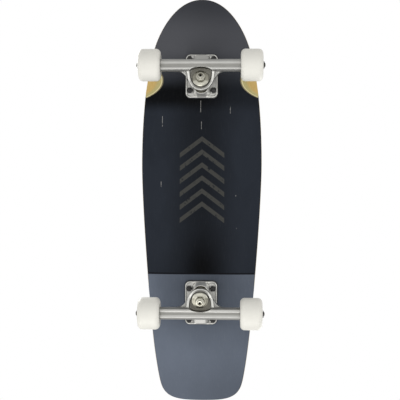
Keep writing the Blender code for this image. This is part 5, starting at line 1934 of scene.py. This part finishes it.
class LONGBOARD_OT_bearings(bpy.types.Operator):
    """Fit two shielded bearings in every wheel"""

    bl_idname = "longboard.bearings"
    bl_label = "Bearings"

    def execute(self, context):
        wheel, places = settings().wheel, axle_places()
        half, bore = wheel.bearing_width / 2, wheel.bearing_bore + GAP
        inner_race, outer_race = bore + wheel.race, wheel.bearing_radius - wheel.race
        soft, recess = 0.0003, 0.0005
        sunk = half - recess
        face = [(half - soft, bore), (half, bore + soft), (half, inner_race - soft / 3),
                (sunk, inner_race), (sunk + soft / 2, (inner_race + outer_race) / 2),
                (sunk, outer_race), (half, outer_race + soft / 3),
                (half, wheel.bearing_radius - soft), (half - soft, wheel.bearing_radius)]
        bearing = turned("bearing", mirrored_profile(face), axis=ACROSS, finish=bright_steel,
                         bored=True)
        refinish(bearing, bearing_shield, lambda middle: abs(middle.y) > half / 2 and (
            inner_race < math.hypot(middle.x, middle.z) < outer_race))
        finished(bearing)
        copies = [(f"{where}_ball_bearing", places["middle"] + way * (places["step"] + half),
                   f"{where}_bearing") for where, way in (("inner", -1), ("outer", 1))]
        at_every_wheel(bearing, copies, WHEEL_BODY, "zinc_steel")
        return {"FINISHED"}


class LONGBOARD_OT_hidden_parts(bpy.types.Operator):
    """Finish the pivot cups and bearing spacers, which keep the model's own shapes"""

    bl_idname = "longboard.hidden_parts"
    bl_label = "Hidden Parts"

    def execute(self, context):
        finishes = {"_pivot_cup": cup_urethane, "_bearing_spacer": bright_steel}
        for name, node in frame["nodes"].items():
            for ending, finish in finishes.items():
                if name.endswith(ending):
                    node.data.materials.clear()
                    node.data.materials.append(kept_finish(finish))
        return {"FINISHED"}


# Stage

def floor_finish(name):
    """Pale floor that only a camera above it sees, near the board: light passes through it."""
    finish = Finish(name, Roughness=0.9)
    base, stage = settings().colours.floor, settings().stage
    finish.set("Base Color", finish.shade(finish.noise(2.0, 2.0, 0.5), base, 0.01))
    by_camera = finish.new("LightPath", "Is Camera Ray")
    below = finish.new("NewGeometry", "Backfacing")
    away = finish.new("VectorMath", "Value", {0: finish.place}, operation="LENGTH")
    seen = by_camera * (1.0 - below) * away.ramp(stage.fade_start, stage.fade_end, 1.0, 0.0)
    clear = finish.add("BsdfTransparent")
    mixed = finish.add("MixShader")
    finish.feed(mixed.inputs[0], seen)
    for source, target in ((clear.outputs[0], mixed.inputs[1]),
                           (finish.shader.outputs[0], mixed.inputs[2]),
                           (mixed.outputs[0], finish.tree.nodes["Material Output"].inputs["Surface"])):
        finish.tree.links.new(source, target)
    return finish.material


def set_world(world, strength):
    """White where it is seen or mirrored, and of a lower strength where it lights the board."""
    world.use_nodes = True
    recipe = Recipe(world.node_tree)
    rays = recipe.outputs(recipe.add("LightPath"))
    mirrored = rays["Is Glossy Ray"].larger(rays["Is Transmission Ray"])
    ground = world.node_tree.nodes["Background"]
    recipe.feed(ground.inputs["Color"], (1.0, 1.0, 1.0))
    recipe.feed(ground.inputs["Strength"],
                rays["Is Camera Ray"].larger(mirrored).ramp(0.0, 1.0, strength, 1.0))


def camera_matrix(stage):
    """Below the deck and looking up, with the nose at the top of the picture."""
    back = Vector((math.sin(stage.camera_pitch), math.sin(stage.camera_tilt), -1)).normalized()
    right = Vector((1, 0, 0)).cross(back).normalized()
    upright = back.cross(right)
    place = Vector((stage.camera_forward, stage.camera_aside, DECK_BOTTOM - stage.camera_distance))
    axes = Matrix((right, upright, back)).transposed().to_4x4()
    return Matrix.Translation(place) @ axes @ Matrix.Rotation(stage.camera_roll, 4, "Z")


def add_lamp(name, place, side, power):
    """A square soft lamp aimed at the board, which the camera doesn't see."""
    lamp = bpy.data.lights.new(name, "AREA")
    lamp.shape = "SQUARE"
    lamp.size = side
    lamp.energy = power
    obj = bpy.data.objects.new(name, lamp)
    aim = Vector((0, 0, MOUNTING_FACE)) - Vector(place)
    obj.matrix_world = Matrix.Translation(place) @ aim.to_track_quat("-Z", "Y").to_matrix().to_4x4()
    obj.visible_camera = False
    bpy.context.scene.collection.objects.link(obj)


# Lamps: name, place, side of the square, power
LAMPS = (("key_above", (0.9, -1.1, 1.7), 1.2, 26.0), ("fill_above", (-1.2, 1.0, 1.5), 1.4, 14.0),
         ("key_below", (-1.5, -0.3, -0.9), 1.4, 16.0), ("fill_below", (0.9, 0.6, -1.6), 1.6, 2.0),
         ("soft_below", (0.0, 0.0, -1.75), 1.2, 3.8), ("left_below", (0.1, 1.5, -0.8), 1.0, 6.0),
         ("right_below", (0.1, -1.5, -0.8), 1.0, 6.0))


class LONGBOARD_OT_stage(bpy.types.Operator):
    """Set up the floor, the light and the camera"""

    bl_idname = "longboard.stage"
    bl_label = "Stage"

    def execute(self, context):
        stage = settings().stage
        half = stage.floor_side / 2
        mesh = bpy.data.meshes.new("studio_floor")
        mesh.from_pydata([(-half, -half, 0), (half, -half, 0), (half, half, 0), (-half, half, 0)],
                         [], [(0, 1, 2, 3)])
        floor = link_mesh("studio_floor", mesh)
        floor.data.materials.append(kept_finish(floor_finish))
        context.scene.world = bpy.data.worlds.new("studio")
        set_world(context.scene.world, stage.world_light)
        for lamp in LAMPS:
            add_lamp(*lamp)
        camera = bpy.data.cameras.new("camera")
        camera.sensor_width = 36.0
        camera.lens = stage.camera_lens
        view = bpy.data.objects.new("camera", camera)
        view.matrix_world = camera_matrix(stage)
        context.scene.collection.objects.link(view)
        context.scene.camera = view
        context.scene.view_settings.view_transform = "Standard"
        return {"FINISHED"}


PIECE_OPERATORS = (LONGBOARD_OT_deck, LONGBOARD_OT_grip_tape, LONGBOARD_OT_riser_pads,
                   LONGBOARD_OT_baseplates, LONGBOARD_OT_hangers, LONGBOARD_OT_kingpins,
                   LONGBOARD_OT_cup_washers, LONGBOARD_OT_bushings, LONGBOARD_OT_axles,
                   LONGBOARD_OT_axle_nuts, LONGBOARD_OT_bolts, LONGBOARD_OT_wheels,
                   LONGBOARD_OT_bearings, LONGBOARD_OT_hidden_parts, LONGBOARD_OT_stage)


class LONGBOARD_PT_panel(bpy.types.Panel):
    """Lists the board's pieces, sizes and colours"""

    bl_label = "Longboard"
    bl_idname = "LONGBOARD_PT_panel"
    bl_space_type = "VIEW_3D"
    bl_region_type = "UI"
    bl_category = "Longboard"

    def draw(self, context):
        for operator in PIECE_OPERATORS:
            self.layout.operator(operator.bl_idname)
        board = context.scene.longboard
        for group in LongboardSettings.__annotations__:
            box = self.layout.box()
            box.label(text=group.title())
            values = getattr(board, group)
            for name in values.__annotations__:
                box.prop(values, name)


CLASSES = (DeckSizes, TruckSizes, KingpinSizes, WheelSizes, BoltSizes, BoardColours, StageSettings,
           LongboardSettings) + PIECE_OPERATORS + (LONGBOARD_PT_panel,)


def register():
    for one in CLASSES:
        bpy.utils.register_class(one)
    bpy.types.Scene.longboard = bpy.props.PointerProperty(type=LongboardSettings)


def unregister():
    del bpy.types.Scene.longboard
    for one in reversed(CLASSES):
        bpy.utils.unregister_class(one)


def main():
    register()
    for operator in PIECE_OPERATORS:
        group, name = operator.bl_idname.split(".")
        getattr(getattr(bpy.ops, group), name)()
    bpy.context.view_layer.update()


if __name__ == "__main__":
    main()
